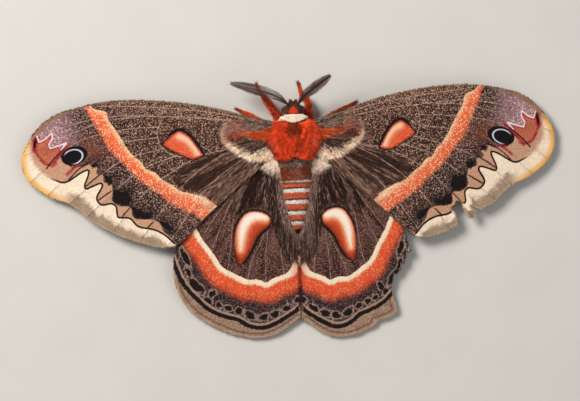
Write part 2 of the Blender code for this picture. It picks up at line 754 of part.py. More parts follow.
def forewing_outline(side):
    margin = place_on_side(FOREWING_OUTLINE, side, FOREWING_PIVOT, SIDES[side]["fore_span"])
    root = root_edge(*FOREWING_ROOT)
    curve = smooth_path([root[0]] + margin + [root[-1]], MARGIN_STEP)
    return worn(curve, "forewing", side) + root[-2:0:-1]


def hindwing_outline(side):
    """Root, outer margin, then the inner margin back along the abdomen."""
    margin = place_on_side(HINDWING_OUTLINE, side, HINDWING_PIVOT, SIDES[side]["hind_span"])
    root = root_edge(*HINDWING_ROOT)
    curve = smooth_path([root[0]] + margin, MARGIN_STEP)
    inner = []
    for y in np.linspace(HINDWING_INNER_END, HINDWING_ROOT[1] - 2.0, 14):
        beside = body_at(y)[0] + INNER_CLEARANCE if y > ABDOMEN_REAR - 1.0 else 0.0
        inner.append((max(beside, INNER_CLEARANCE), float(y)))
    return worn(curve, "hindwing", side) + inner + root[::-1][:-1]


def inside(point, outline):
    """Whether a point lies within a closed outline."""
    x, y = point
    hit = False
    for (ax, ay), (bx, by) in zip(outline, outline[1:] + outline[:1]):
        if (ay > y) != (by > y) and x < (bx - ax) * (y - ay) / (by - ay) + ax:
            hit = not hit
    return hit


def distance_to(point, line):
    """Shortest distance from a point to a polyline."""
    p = np.array(point)
    a = np.array(line[:-1])
    b = np.array(line[1:])
    span = b - a
    t = np.clip(((p - a) * span).sum(1) / (span ** 2).sum(1), 0.0, 1.0)
    return float(np.linalg.norm(a + span * t[:, None] - p, axis=1).min())


def vein_lines(veins, side, pivot, span, outline):
    """Each vein's crest, and a foot on both sides, kept clear of the margin."""
    closed = outline + outline[:1]
    crests = []
    lines = []
    for vein in veins:
        crest = smooth_path(place_on_side(vein, side, pivot, span), VEIN_STEP)
        crests.append(crest)
        ahead = np.gradient(crest, axis=0)
        ahead /= np.linalg.norm(ahead, axis=1)[:, None]
        across = np.stack([-ahead[:, 1], ahead[:, 0]], axis=1) * VEIN_HALF_WIDTH
        for line in (crest, crest + across, crest - across):
            kept = [tuple(float(c) for c in p) for p in line
                    if inside(p, outline) and distance_to(p, closed) > VEIN_END]
            lines.append(kept)
    return crests, lines


def fill_points(outline, crests):
    """A staggered grid of points well inside the outline and between the veins."""
    closed = outline + outline[:1]
    xs, ys = zip(*outline)
    points = []
    for row, y in enumerate(np.arange(min(ys), max(ys), FILL_STEP)):
        for x in np.arange(min(xs) + 0.5 * FILL_STEP * (row % 2), max(xs), FILL_STEP):
            place = (float(x), float(y))
            if not inside(place, outline) or distance_to(place, closed) < 0.45 * FILL_STEP:
                continue
            if min(distance_to(place, crest) for crest in crests) > 0.4 * FILL_STEP:
                points.append(place)
    return points


def wing_plan(outline, crests, lines):
    """Cut the outline into triangles that follow the veins' crests and feet."""
    points = list(outline)
    edges = []
    for line in lines:
        first = len(points)
        points += line
        edges += [(k, k + 1) for k in range(first, len(points) - 1)]
    points += fill_points(outline, crests)
    rim = list(range(len(outline)))
    flat = delaunay_2d_cdt([Vector(p) for p in points], edges, [rim], 1, MERGE_DISTANCE)
    return flat[0], flat[2]


def ridge_heights(points, outline, crests):
    """How far each point is raised: most on a crest, fading out towards the margin."""
    closed = outline + outline[:1]
    ridge = []
    for point in points:
        near = min(distance_to(point, crest) for crest in crests)
        fade = min(1.0, distance_to(point, closed) / (2.0 * VEIN_END))
        ridge.append(VEIN_RISE * fade * max(0.0, 1.0 - near / VEIN_HALF_WIDTH))
    return ridge


def facing_up(tris, plan):
    """The same triangles, each anticlockwise seen from above."""
    turned = []
    for tri in tris:
        (ax, ay), (bx, by), (cx, cy) = (plan[i] for i in tri)
        turn = (bx - ax) * (cy - ay) - (by - ay) * (cx - ax)
        turned.append(tuple(tri) if turn > 0 else tuple(tri)[::-1])
    return turned


def plate_faces(tris, count):
    """Faces of a plate: its top points come first, then as many points under them."""
    faces = tris + [tuple(i + count for i in tri[::-1]) for tri in tris]
    sides = {(a, b) for tri in tris for a, b in zip(tri, tri[1:] + tri[:1])}
    for a, b in sorted(sides):
        if (b, a) not in sides:
            faces.append((b, a, a + count))
            faces.append((b, a + count, b + count))
    return faces


WINGS = {
    "forewing": {"outline": forewing_outline, "veins": FOREWING_VEINS,
                 "pivot": FOREWING_PIVOT, "span": "fore_span", "drop": 0.0},
    "hindwing": {"outline": hindwing_outline, "veins": HINDWING_VEINS,
                 "pivot": HINDWING_PIVOT, "span": "hind_span", "drop": HINDWING_DROP},
}


def add_wing(kind, side):
    """A thin plate with raised veins, cut into the same triangles on both faces."""
    wing = WINGS[kind]
    outline = wing["outline"](side)
    span = SIDES[side][wing["span"]]
    crests, lines = vein_lines(wing["veins"], side, wing["pivot"], span, outline)
    points, tris = wing_plan(outline, crests, lines)
    plan = [(p.x * SIDES[side]["sign"], p.y) for p in points]
    sunk = wing["drop"] + 0.5 * WING_THICKNESS
    under = [(x, y, wing_height(x, y) - sunk) for x, y in plan]
    ridge = ridge_heights(points, outline, crests)
    top = [(x, y, z + WING_THICKNESS + rise) for (x, y, z), rise in zip(under, ridge)]
    faces = plate_faces(facing_up(tris, plan), len(plan))
    add_node(f"{kind}_{side}", top + under, faces, "wing_scales")


def centre_over_origin():
    """Move every object so that the whole moth's box is centred on the Z axis."""
    objects = list(bpy.context.scene.collection.objects)
    points = np.array([tuple(v.co) for obj in objects for v in obj.data.vertices])
    middle = 0.5 * (points.min(axis=0) + points.max(axis=0))
    for obj in objects:
        for vertex in obj.data.vertices:
            vertex.co.x -= middle[0]
            vertex.co.y -= middle[1]


def main():
    clear_scene()
    add_head()
    add_collar()
    add_thorax()
    add_abdomen()
    for side in SIDES:
        add_wing("forewing", side)
        add_wing("hindwing", side)
        add_antenna(side)
        for kind in LEGS:
            add_leg(kind, side)
    centre_over_origin()


main()
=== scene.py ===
"""A cecropia moth at rest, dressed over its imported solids.

Sizes are millimetres in the moth's own space: x = 0 is the body's middle line, +Y points to
the head, and the floor is z = 0.  The wings' designs are drawn once, as distance out from the
body and place along Y on the left side, and are fitted to the right side by landmarks.
"""

import json
import math

import bpy
import numpy as np
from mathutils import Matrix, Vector
from mathutils.geometry import delaunay_2d_cdt

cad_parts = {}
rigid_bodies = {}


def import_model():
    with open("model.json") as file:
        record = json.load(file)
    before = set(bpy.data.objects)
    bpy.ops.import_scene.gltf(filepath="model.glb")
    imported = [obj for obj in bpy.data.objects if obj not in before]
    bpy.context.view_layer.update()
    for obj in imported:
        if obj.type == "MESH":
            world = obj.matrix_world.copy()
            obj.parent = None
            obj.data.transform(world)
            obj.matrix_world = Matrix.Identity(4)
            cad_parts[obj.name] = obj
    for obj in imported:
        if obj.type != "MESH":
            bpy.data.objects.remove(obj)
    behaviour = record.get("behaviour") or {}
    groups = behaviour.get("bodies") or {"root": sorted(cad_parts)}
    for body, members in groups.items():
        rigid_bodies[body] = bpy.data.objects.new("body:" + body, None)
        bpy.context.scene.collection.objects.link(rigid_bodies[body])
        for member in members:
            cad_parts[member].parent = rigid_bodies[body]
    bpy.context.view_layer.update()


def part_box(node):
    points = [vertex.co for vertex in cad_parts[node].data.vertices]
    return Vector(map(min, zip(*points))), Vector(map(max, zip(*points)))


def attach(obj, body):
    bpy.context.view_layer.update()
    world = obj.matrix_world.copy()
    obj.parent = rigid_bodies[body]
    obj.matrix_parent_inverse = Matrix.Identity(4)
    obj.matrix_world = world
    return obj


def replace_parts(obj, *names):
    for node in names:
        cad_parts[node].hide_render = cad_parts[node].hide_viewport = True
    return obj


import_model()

MM = 0.001
SIGNS = {"left": -1.0, "right": 1.0}
UP = np.array([0.0, 0.0, 1.0])
WING_SEED, COAT_SEED, LEG_SEED, ANTENNA_SEED = 11, 111, 211, 311

# What the lights give a surface, and what hair loses to its own shade
LIGHT_SHARE = 0.56
HAIR_GAIN = 1.7

# The body's core, head to tail: place along Y, half width, half height, height of its middle
BODY_STATIONS = (
    (10.4, 0.9, 0.9, 6.6), (9.6, 2.0, 1.9, 6.7), (8.2, 2.7, 2.5, 6.7), (6.8, 2.8, 2.8, 6.8),
    (5.4, 4.1, 3.8, 7.0), (3.5, 5.2, 4.7, 7.3), (0.0, 5.6, 5.1, 7.4), (-3.5, 5.3, 4.9, 7.3),
    (-6.6, 4.5, 4.3, 6.9), (-9.0, 4.0, 3.9, 6.5), (-13.0, 3.9, 3.8, 6.2),
    (-17.0, 3.5, 3.4, 5.8), (-20.5, 2.7, 2.7, 5.4), (-23.5, 1.8, 1.9, 5.0),
    (-25.8, 0.7, 0.8, 4.7),
)
HEAD_FRONT = 10.4
TAIL_END = -25.8
SKIN_SHARE = 0.96
SLOPE_STEP = 0.25
SLOPE_LIMIT = 1.5
EYE_PLACE = (2.2, 8.4, 6.5)
EYE_RADIUS = 1.15
# The lowest that skin and coat come to the floor
LOWEST = 0.02

# Where each stretch of the body's markings starts, from the head back
COLLAR_SPAN = (7.5, 5.2)
WAIST_START = -5.2
FUZZY_START = -7.4
RING_STARTS = (-11.5, -14.7, -17.9, -20.9, -23.7, -25.9)
RING_RED = 0.53
RING_BLACK = 0.67


def rows(*columns):
    """One row for each place, from its columns; a plain number is the same in all rows."""
    return np.stack(np.broadcast_arrays(*columns), axis=-1)


def unit(vectors):
    """Vectors with their length made one."""
    return vectors / np.maximum(np.linalg.norm(vectors, axis=-1, keepdims=True), 1e-9)


def toward(heading, reach=1.0):
    """Steps in the plane by direction and length."""
    return rows(np.cos(heading), np.sin(heading)) * np.asarray(reach)[..., None]


def smooth_path(points, step, closed=False):
    """A smooth curve through the points, read about every step millimetres."""
    pts = np.array(points, float)
    if closed:
        ends = np.vstack([pts[-1], pts, pts[0], pts[1]])
    else:
        ends = np.vstack([2 * pts[0] - pts[1], pts, 2 * pts[-1] - pts[-2]])
    path = []
    for a, b, c, d in zip(ends, ends[1:], ends[2:], ends[3:]):
        count = max(1, round(float(np.linalg.norm(c - b)) / step))
        t = (np.arange(count) / count)[:, None]
        path.append(0.5 * (2 * b + (c - a) * t + (2 * a - 5 * b + 4 * c - d) * t * t
                           + (3 * b - a - 3 * c + d) * t ** 3))
    if not closed:
        path.append(ends[-2][None, :])
    return np.vstack(path)


def path_run(path):
    """How far along a path each of its points lies."""
    return np.concatenate([[0.0], np.cumsum(np.linalg.norm(np.diff(path, axis=0), axis=1))])


def read_path(path, run, at):
    """Places on a path, by how far along they lie."""
    return rows(*(np.interp(at, run, column) for column in path.T))


def read_list(values, share):
    """Values spread evenly over a length, read at shares of it."""
    return np.interp(share, np.linspace(0.0, 1.0, len(values)), values)


def nearest(points, line):
    """Distance from each point to a polyline, and how far along the line it lies."""
    best = np.full(len(points), 1e9)
    along = np.zeros(len(points))
    run = 0.0
    for a, b in zip(line[:-1], line[1:]):
        span = b - a
        length = float(np.hypot(*span))
        if length < 1e-9:
            continue
        share = np.clip(((points - a) @ span) / length ** 2, 0.0, 1.0)
        gap = np.hypot(*(points - a - share[:, None] * span).T)
        near = gap < best
        best[near] = gap[near]
        along[near] = run + share[near] * length
        run += length
    return best, along


def inside(points, outline):
    """Whether each point lies within a closed outline."""
    x, y = points.T
    hit = np.zeros(len(points), bool)
    for (ax, ay), (bx, by) in zip(outline, np.roll(outline, -1, axis=0)):
        if ay != by:
            hit ^= ((ay > y) != (by > y)) & (x < (bx - ax) * (y - ay) / (by - ay) + ax)
    return hit


def signed(points, outline):
    """Distance to a closed outline, positive within it."""
    gap = nearest(points, np.vstack([outline, outline[:1]]))[0]
    return np.where(inside(points, outline), gap, -gap)


def beyond(points, line, corners):
    """Distance to an open line, positive on the side where the corners lie."""
    gap = nearest(points, line)[0]
    return np.where(inside(points, np.vstack([line, corners])), gap, -gap)


def line_gap(points, *lines):
    """Distance to the nearest of some smooth lines."""
    return np.min([nearest(points, smooth_path(line, 0.5))[0] for line in lines], axis=0)


def ellipse(points, centre, half, tilt):
    """Distance to an ellipse, positive within it, near enough for a marking's rim."""
    turn = math.radians(tilt)
    x, y = (points - np.array(centre)).T
    u = x * math.cos(turn) + y * math.sin(turn)
    v = -x * math.sin(turn) + y * math.cos(turn)
    return (1 - np.hypot(u / half[0], v / half[1])) * min(half)


def ramp(value, low, high):
    """A smooth step from 0 at low to 1 at high."""
    share = np.clip((value - low) / (high - low), 0.0, 1.0)
    return share * share * (3 - 2 * share)


def ink(code):
    """The linear surface colour that shows as a web code under the scene's light."""
    parts = [int(code[i:i + 2], 16) / 255 for i in (0, 2, 4)]
    return LIGHT_SHARE * np.array([p / 12.92 if p <= 0.04045 else ((p + 0.055) / 1.055) ** 2.4
                                   for p in parts])


def tone(colour):
    """A colour given as a web code or in linear parts, in linear parts."""
    return ink(colour) if isinstance(colour, str) else colour


def paint(tint, *layers):
    """Lay colours over a first one, each as far as its mask says, row by row."""
    tint = tone(tint)
    for mask, colour in layers:
        share = np.asarray(mask, float)[:, None]
        tint = tint * (1 - share) + tone(colour) * share
    return tint


def moth_origin():
    """Where the moth's own zero lies in the frame, found from its two eyes."""
    corners = np.array([tuple(c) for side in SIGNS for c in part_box(f"eye_{side}")])
    middle = corners.mean(axis=0)
    return np.array([middle[0], middle[1] - EYE_PLACE[1] * MM, middle[2] - EYE_PLACE[2] * MM])


ORIGIN = moth_origin()


def to_frame(points):
    return np.asarray(points, float) * MM + ORIGIN


# Meshes

def make_piece(name, verts, faces, look, slot=None, smooth=True):
    """One object from points in millimetres and faces that all have as many corners."""
    faces = np.asarray(faces, np.int32)
    mesh = bpy.data.meshes.new(name)
    mesh.vertices.add(len(verts))
    mesh.vertices.foreach_set("co", to_frame(verts).astype(np.float32).ravel())
    mesh.loops.add(faces.size)
    mesh.loops.foreach_set("vertex_index", faces.ravel())
    mesh.polygons.add(len(faces))
    starts = np.arange(0, faces.size, faces.shape[1], dtype=np.int32)
    mesh.polygons.foreach_set("loop_start", starts)
    mesh.update(calc_edges=True)
    mesh.validate()
    if smooth:
        mesh.shade_smooth()
    piece = bpy.data.objects.new(name, mesh)
    bpy.context.scene.collection.objects.link(piece)
    mesh.materials.append(look)
    return piece


def add_values(piece, name, values):
    """Keep a number, or a row of three, at each point of a piece."""
    values = np.asarray(values, np.float32)
    kind, key = ("FLOAT", "value") if values.ndim == 1 else ("FLOAT_VECTOR", "vector")
    layer = piece.data.attributes.new(name, kind, "POINT")
    layer.data.foreach_set(key, values.ravel())


def add_tint(piece, tint):
    """Keep a colour at each point of a piece."""
    rgba = np.ones((len(tint), 4), np.float32)
    rgba[:, :3] = np.clip(tint, 0.0, 1.0)
    layer = piece.data.color_attributes.new("tint", "FLOAT_COLOR", "POINT")
    layer.data.foreach_set("color", rgba.ravel())


def add_unwrap(piece, places):
    """The OFBake map, from one place on the unwrap for each point."""
    corners = np.zeros(len(piece.data.loops), np.int32)
    piece.data.loops.foreach_get("vertex_index", corners)
    layer = piece.data.uv_layers.new(name="OFBake")
    layer.data.foreach_set("uv", np.asarray(places, np.float32)[corners].ravel())


def ring_faces(count, sides):
    """Triangles over rings of points, closed by one point at each end, which come last."""
    faces = []
    start = np.arange(count - 1) * sides
    first, last, end = count * sides, count * sides + 1, (count - 1) * sides
    for s in range(sides):
        t = (s + 1) % sides
        faces.append(rows(start + s, start + sides + s, start + sides + t))
        faces.append(rows(start + s, start + sides + t, start + t))
        faces.append([(first, s, t), (last, end + t, end + s)])
    return np.vstack(faces)


def tube(path, radii, sides):
    """Points and triangles of a closed round tube."""
    ahead = unit(np.gradient(path, axis=0))
    side = unit(np.cross(ahead, UP))
    lift = np.cross(side, ahead)
    turn = np.arange(sides) * math.tau / sides
    ring = (side[:, None, :] * np.cos(turn)[None, :, None]
            + lift[:, None, :] * np.sin(turn)[None, :, None])
    verts = path[:, None, :] + ring * np.asarray(radii, float)[:, None, None]
    verts = np.vstack([verts.reshape(-1, 3), path[:1], path[-1:]])
    return verts, ring_faces(len(path), sides)


def join(parts):
    """Several lists of points and faces as one."""
    starts = np.cumsum([0] + [len(verts) for verts, _ in parts])
    return (np.vstack([verts for verts, _ in parts]),
            np.vstack([faces + start for (_, faces), start in zip(parts, starts)]))


# The body's core

BODY_CURVE = smooth_path(BODY_STATIONS, 0.2)[::-1]


def body_at(y):
    """The core's half width, half height and middle height."""
    return tuple(np.interp(y, BODY_CURVE[:, 0], BODY_CURVE[:, k]) for k in (1, 2, 3))


def body_radius(y, turn):
    wide, tall, _ = body_at(y)
    return np.hypot(wide * np.sin(turn), tall * np.cos(turn))


def body_surface(y, turn, share=SKIN_SHARE):
    """Points on the skin and their outward directions; turn runs from the top, in radians."""
    wide, tall, middle = body_at(y)
    points = rows(wide * share * np.sin(turn), y, middle + tall * share * np.cos(turn))
    slope = body_radius(y + SLOPE_STEP, turn) - body_radius(y - SLOPE_STEP, turn)
    out = unit(rows(np.sin(turn) / wide, 0.0, np.cos(turn) / tall))
    out[:, 1] = -np.clip(slope / (2 * SLOPE_STEP), -SLOPE_LIMIT, SLOPE_LIMIT)
    return points, unit(out)


RED = ink("EC4820")
BRIGHT_RED = ink("F65A2A")
DARK_RED = ink("5C200C")
CREAM = ink("FBE2C6")
WHITE = ink("FFF6EE")
BLACK = ink("1A1210")
GREY_BROWN = ink("7A655A")
FUZZY_BROWN = ink("7C3620")
TAN = ink("B48E72")
RING_COLOUR = ink("EE7850")
FRONS_RED = ink("CC3A18")
# A brown of painted shade, for the front of the face and the hair round it
SHADED_FACE_BROWN = ink("5E3C2C")
PALE_RED = ink("F08050")


def ring_share(y):
    """How far through its ring each place on the abdomen lies, from 0 to 1."""
    starts = np.array(RING_STARTS)
    k = np.searchsorted(-starts, -np.asarray(y, float), side="right") - 1
    k = np.clip(k, 0, len(starts) - 2)
    return np.clip((starts[k] - y) / (starts[k] - starts[k + 1]), 0.0, 1.0)


def body_tint(y, turn, jitter=0.0):
    """The body's markings, with painted shade on the face's front, the same on skin and coat."""
    y = np.asarray(y, float) + jitter
    across = np.abs(body_at(y)[0] * np.sin(turn))
    down = np.abs(turn)
    patch = ramp(np.hypot(across / 1.5, (y - 3.2) / 1.9), 1.15, 0.75) * (down < 1.2)
    front, rear = COLLAR_SPAN
    collar = ramp(y, rear, rear + 0.3) * ramp(y, front + 0.2, front - 0.1)
    # Painted shade: the face turns brown towards its front and sides
    brow = paint(FRONS_RED, (ramp(across + 0.6 * (y - 7.5), 0.4, 1.2), SHADED_FACE_BROWN))
    teeth = 0.24 * np.abs((turn * 6.0) % 2.0 - 1.0) - 0.12
    share = ring_share(y + teeth * (ring_share(y) > 0.75))
    ring = paint(RING_COLOUR,
                 (ramp(share, RING_RED, RING_RED + 0.02), BLACK),
                 (ramp(share, RING_BLACK - 0.02, RING_BLACK + 0.01), WHITE),
                 (ramp(y, -24.8, -25.0), "2E1C16"))
    belly = paint("E9D7C0", (ramp(share, 0.25, 0.4) * ramp(share, 0.8, 0.6)
                             * ramp(across, 0.5, 1.2), "7E3A26"))
    tail = y < FUZZY_START
    return paint(RED,
                 (ramp(across, 3.0, 5.5) * (down < 1.6), BRIGHT_RED),
                 (ramp(down, 1.5, 2.2), "8A2A17"),
                 (0.8 * patch, DARK_RED),
                 (collar, CREAM),
                 (ramp(y, front, front + 0.4), brow),
                 (ramp(y, WAIST_START, WAIST_START - 0.5), GREY_BROWN),
                 (ramp(y, FUZZY_START, FUZZY_START - 0.6), FUZZY_BROWN),
                 (ramp(y, RING_STARTS[0] + 0.45, RING_STARTS[0] + 0.35), WHITE),
                 (ramp(y, RING_STARTS[0], RING_STARTS[0] - 0.1), ring),
                 (0.75 * tail * ramp(down, 1.25, 1.5) * ramp(down, 2.1, 1.9), TAN),
                 (tail * ramp(down, 2.0, 2.25), belly))


# Materials

# Where in its cell a speck of scales starts to show and where it is full
SPECK_RIM = (0.62, 0.35)


class Field:
    """A value that varies over a surface: one output of a shader node."""

    def __init__(self, graph, socket):
        self.graph = graph
        self.socket = socket

    def math(self, operation, second=0.0, first=None):
        inputs = {0: self if first is None else first, 1: second}
        return self.graph.node("ShaderNodeMath", inputs, operation=operation)

    def __add__(self, other):
        return self.math("ADD", other)

    def __sub__(self, other):
        return self.math("SUBTRACT", other)

    def __rsub__(self, other):
        return self.math("SUBTRACT", self, other)

    def __mul__(self, other):
        return self.math("MULTIPLY", other)

    def __truediv__(self, other):
        return self.math("DIVIDE", other)

    def __abs__(self):
        return self.math("ABSOLUTE")

    def step(self, low, high):
        """A smooth step from 0 at low to 1 at high."""
        ends = (low, high, 0.0, 1.0) if low < high else (high, low, 1.0, 0.0)
        inputs = dict(zip(("From Min", "From Max", "To Min", "To Max"), ends), Value=self)
        return self.graph.node("ShaderNodeMapRange", inputs, interpolation_type="SMOOTHSTEP")

    def swing(self, reach):
        """Noise as a length that swings evenly about zero."""
        return (self - 0.5) * (2 * reach)


class Graph:
    """The shader nodes of one material; g["name"] reads a value kept on the surface."""

    def __init__(self, name, roughness, specular):
        self.material = bpy.data.materials.new(name)
        self.material.use_nodes = True
        self.tree = self.material.node_tree
        self.shader = self.tree.nodes["Principled BSDF"]
        self.shader.inputs["Roughness"].default_value = roughness
        self.shader.inputs["Specular IOR Level"].default_value = specular
        spot = self.node("ShaderNodeTexCoord", {}, "Object")
        self.place = self.node("ShaderNodeVectorMath", {0: spot, 3: 1 / MM}, operation="SCALE")

    def node(self, kind, inputs, output=0, **settings):
        """One output of a new node; an input is a field, a colour or a number."""
        made = self.tree.nodes.new(kind)
        for key, value in settings.items():
            setattr(made, key, value)
        for socket, value in inputs.items():
            if isinstance(value, Field):
                self.tree.links.new(value.socket, made.inputs[socket])
            elif isinstance(value, (str, np.ndarray)):
                made.inputs[socket].default_value = (*tone(value), 1.0)
            else:
                made.inputs[socket].default_value = value
        return Field(self, made.outputs[output])

    def __getitem__(self, name):
        return self.read(name, "Fac")

    def read(self, name, output):
        return self.node("ShaderNodeAttribute", {}, output, attribute_name=name)

    def mix(self, amount, first, second, **settings):
        """A colour between two, by web code or field."""
        inputs = {0: amount, 6: first, 7: second}
        return self.node("ShaderNodeMix", inputs, 2, data_type="RGBA", **settings)

    def paint(self, colour, *layers):
        """Lay colours over a first one, each as far as its mask says."""
        for mask, over in layers:
            colour = self.mix(mask, colour, over)
        return colour

    def tinted(self, mask, shade):
        """The tint kept on the surface, multiplied by a shade where the mask is low."""
        tint = self.read("tint", "Color")
        dark = self.mix(1.0, tint, np.array(shade), blend_type="MULTIPLY")
        return self.mix(mask, dark, tint)

    def noise(self, scale, detail=2.0, roughness=0.5, place=None):
        return self.node("ShaderNodeTexNoise", {"Vector": place or self.place, "Scale": scale,
                                                "Detail": detail, "Roughness": roughness})

    def cells(self, scale, output="Distance"):
        inputs = {"Vector": self.place, "Scale": scale}
        return self.node("ShaderNodeTexVoronoi", inputs, output)

    def specks(self, scale, density):
        """Scattered scales: density is the share of cells that are on."""
        pick = self.node("ShaderNodeSeparateColor", {"Color": self.cells(scale, "Color")})
        return pick.math("LESS_THAN", density) * self.cells(scale).step(*SPECK_RIM)

    def finish(self, colour, height, depth):
        """Join the colour and a relief, as deep as depth millimetres, to the shader."""
        inputs = {"Height": height, "Distance": depth * MM, "Strength": 1.0}
        normal = self.node("ShaderNodeBump", inputs)
        self.tree.links.new(colour.socket, self.shader.inputs["Base Color"])
        self.tree.links.new(normal.socket, self.shader.inputs["Normal"])
        return self.material


def coat_look():
    """Hair: each tuft has its own tint, with finer light and dark strands across it."""
    g = Graph("coat_hair", 0.8, 0.15)
    strands = g.noise(7.0, 3.0)
    light = (strands * 0.5 + g.noise(0.9) * 0.35).step(0.28, 0.55)
    return g.finish(g.tinted(light, (0.72, 0.64, 0.6)), strands, 0.03)


def skin_look():
    """Chitin under the coat, covered in short flat scales."""
    g = Graph("body_scales", 0.7, 0.2)
    light = g.noise(3.0, 3.0).step(0.3, 0.6)
    return g.finish(g.tinted(light, (0.6, 0.55, 0.52)), g.cells(6.0), 0.06)


def antenna_look():
    """Brown-grey comb, darker along the stem."""
    g = Graph("antenna_comb", 0.6, 0.25)
    grain = g.noise(5.0)
    return g.finish(g.tinted(grain.step(0.35, 0.6), (0.6, 0.55, 0.5)), grain, 0.03)


def eye_look():
    """Dark glossy facets."""
    g = Graph("compound_eye", 0.16, 0.6)
    facets = g.cells(9.0)
    colour = g.paint(g.mix(g.noise(1.2).step(0.3, 0.7), "120B08", "33201A"),
                     (facets.step(0.3, 0.6) * 0.4, "4A3026"))
    return g.finish(colour, facets, 0.03)


def claw_look():
    """Dark horn."""
    g = Graph("claw_horn", 0.3, 0.5)
    grain = g.noise(3.0)
    return g.finish(g.mix(grain, "1C100C", "3A221A"), grain, 0.02)


# Coats of tufts

# Where along a tuft its points stand, and how wide its rings are, by how many rings it has
TUFT_SHARES = {2: (0.0, 0.5, 1.0), 3: (0.0, 0.38, 0.74, 1.0)}
TUFT_WIDTHS = {2: (0.8, 1.0), 3: (0.8, 1.0, 0.7)}
TUFT_DEPTH = 0.45
TUFT_SINK = 0.15
TUFT_LIGHT = (0.8, 1.18)
ROOT_SHADE = 0.72
# Half the size of one tuft on the unwrap
PATCH_HALF = 0.0015


def tuft_geometry(spine, up, width):
    """Thin three-sided blades along their spines, each closed at the root and pointed."""
    rings = spine.shape[1] - 1
    verts = np.zeros((len(spine), 3 * rings + 1, 3))
    for k in range(rings):
        ahead = unit(spine[:, k + 1] - spine[:, max(k - 1, 0)])
        side = unit(np.cross(ahead, up))
        half = (0.5 * width * TUFT_WIDTHS[rings][k])[:, None]
        verts[:, 3 * k] = spine[:, k] + side * half
        verts[:, 3 * k + 1] = spine[:, k] - side * half
        verts[:, 3 * k + 2] = spine[:, k] + np.cross(side, ahead) * half * 2 * TUFT_DEPTH
    verts[:, -1] = spine[:, -1]
    faces = [(0, 2, 1)]
    for a in range(0, 3 * rings - 3, 3):
        for p, q in ((a + 2, a), (a + 1, a + 2), (a, a + 1)):
            faces += [(p, q, q + 3), (p, q + 3, p + 3)]
    a, tip = 3 * rings - 3, 3 * rings
    faces += [(a + 2, a, tip), (a + 1, a + 2, tip), (a, a + 1, tip)]
    offsets = (np.arange(len(spine)) * (3 * rings + 1))[:, None, None]
    return verts, (np.array(faces)[None] + offsets).reshape(-1, 3)


def make_coat(name, groups, look, slot):
    """Join groups of tufts into one piece, with their tints and the OFBake map."""
    spine, up, width, tint, spot = (np.concatenate(part) for part in zip(*groups))
    verts, faces = tuft_geometry(spine, up, width)
    verts[..., 2] = np.maximum(verts[..., 2], LOWEST)
    rings = spine.shape[1] - 1
    share = np.repeat(np.array(TUFT_SHARES[rings]), [3] * rings + [1])
    shade = ROOT_SHADE + (1 - ROOT_SHADE) * share
    across = np.array([PATCH_HALF, -PATCH_HALF, 0.0] * rings + [0.0])
    patch = rows(across, (2 * share - 1) * PATCH_HALF)
    piece = make_piece(name, verts.reshape(-1, 3), faces, look, slot)
    add_tint(piece, (HAIR_GAIN * tint[:, None, :] * shade[None, :, None]).reshape(-1, 3))
    add_unwrap(piece, (spot[:, None, :] + patch[None]).reshape(-1, 2))
    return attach(piece, "root")


def clumps(draw, across, along, cell, reach):
    """Smooth random values from -1 to 1, in cells of a given width and length."""
    u = (across - np.min(across)) / cell
    v = (along - np.min(along)) / reach
    grid = draw.uniform(-1.0, 1.0, (int(np.max(u)) + 2, int(np.max(v)) + 2))
    i, j = u.astype(int), v.astype(int)
    s, t = ramp(u - i, 0.0, 1.0), ramp(v - j, 0.0, 1.0)
    return ((grid[i, j] * (1 - s) + grid[i + 1, j] * s) * (1 - t)
            + (grid[i, j + 1] * (1 - s) + grid[i + 1, j + 1] * s) * t)


def between(draw, value, count):
    """A row of numbers as it is, or drawn between the two numbers of a pair."""
    return draw.uniform(*value, count) if isinstance(value, tuple) else value


def body_spot(y, turn):
    """Where a place on the body lies on the unwrap of its skin."""
    u = 0.02 + 0.96 * (turn / math.tau + 0.5)
    v = 0.02 + 0.96 * (HEAD_FRONT - y) / (HEAD_FRONT - TAIL_END)
    return rows(u, np.clip(v, 0.0, 1.0))


def body_tufts(draw, y, turn, lean, length, lift, width, rings=3, tint=None):
    """Tufts that rise from the skin and lie along it; lean 0 is tailwards, in radians."""
    length, lift, width = (between(draw, each, len(y)) for each in (length, lift, width))
    reach = body_radius(y, turn)
    spine, outs = [], []
    for share in TUFT_SHARES[rings]:
        along = y - length * share * np.cos(lean)
        place = np.clip(along, TAIL_END - 0.4, HEAD_FRONT - 0.02)
        point, out = body_surface(place, turn + length * share * np.sin(lean) / reach)
        rise = (lift + TUFT_SINK) * share ** 0.6 - TUFT_SINK
        spine.append(point + out * rise[:, None] + rows(0.0, along - place, 0.0))
        outs.append(out)
    if tint is None:
        tint = body_tint(y, turn, draw.uniform(-0.12, 0.12, len(y)))
    bright = draw.uniform(*TUFT_LIGHT, len(y))[:, None]
    return np.stack(spine, axis=1), outs[1], width, tone(tint) * bright, body_spot(y, turn)


def curved_tufts(draw, root, bend, tip, up, width, tint, spot, rings=3):
    """Tufts along plain curves from root to tip, drawn towards a bend."""
    width = between(draw, width, len(root))
    spine = np.stack([(1 - s) ** 2 * root + 2 * s * (1 - s) * bend + s * s * tip
                      for s in TUFT_SHARES[rings]], axis=1)
    bright = draw.uniform(*TUFT_LIGHT, len(root))[:, None]
    return spine, np.broadcast_to(up, root.shape), width, tone(tint) * bright, spot


# Wing shapes, as distance out from the body and place along Y on the left side

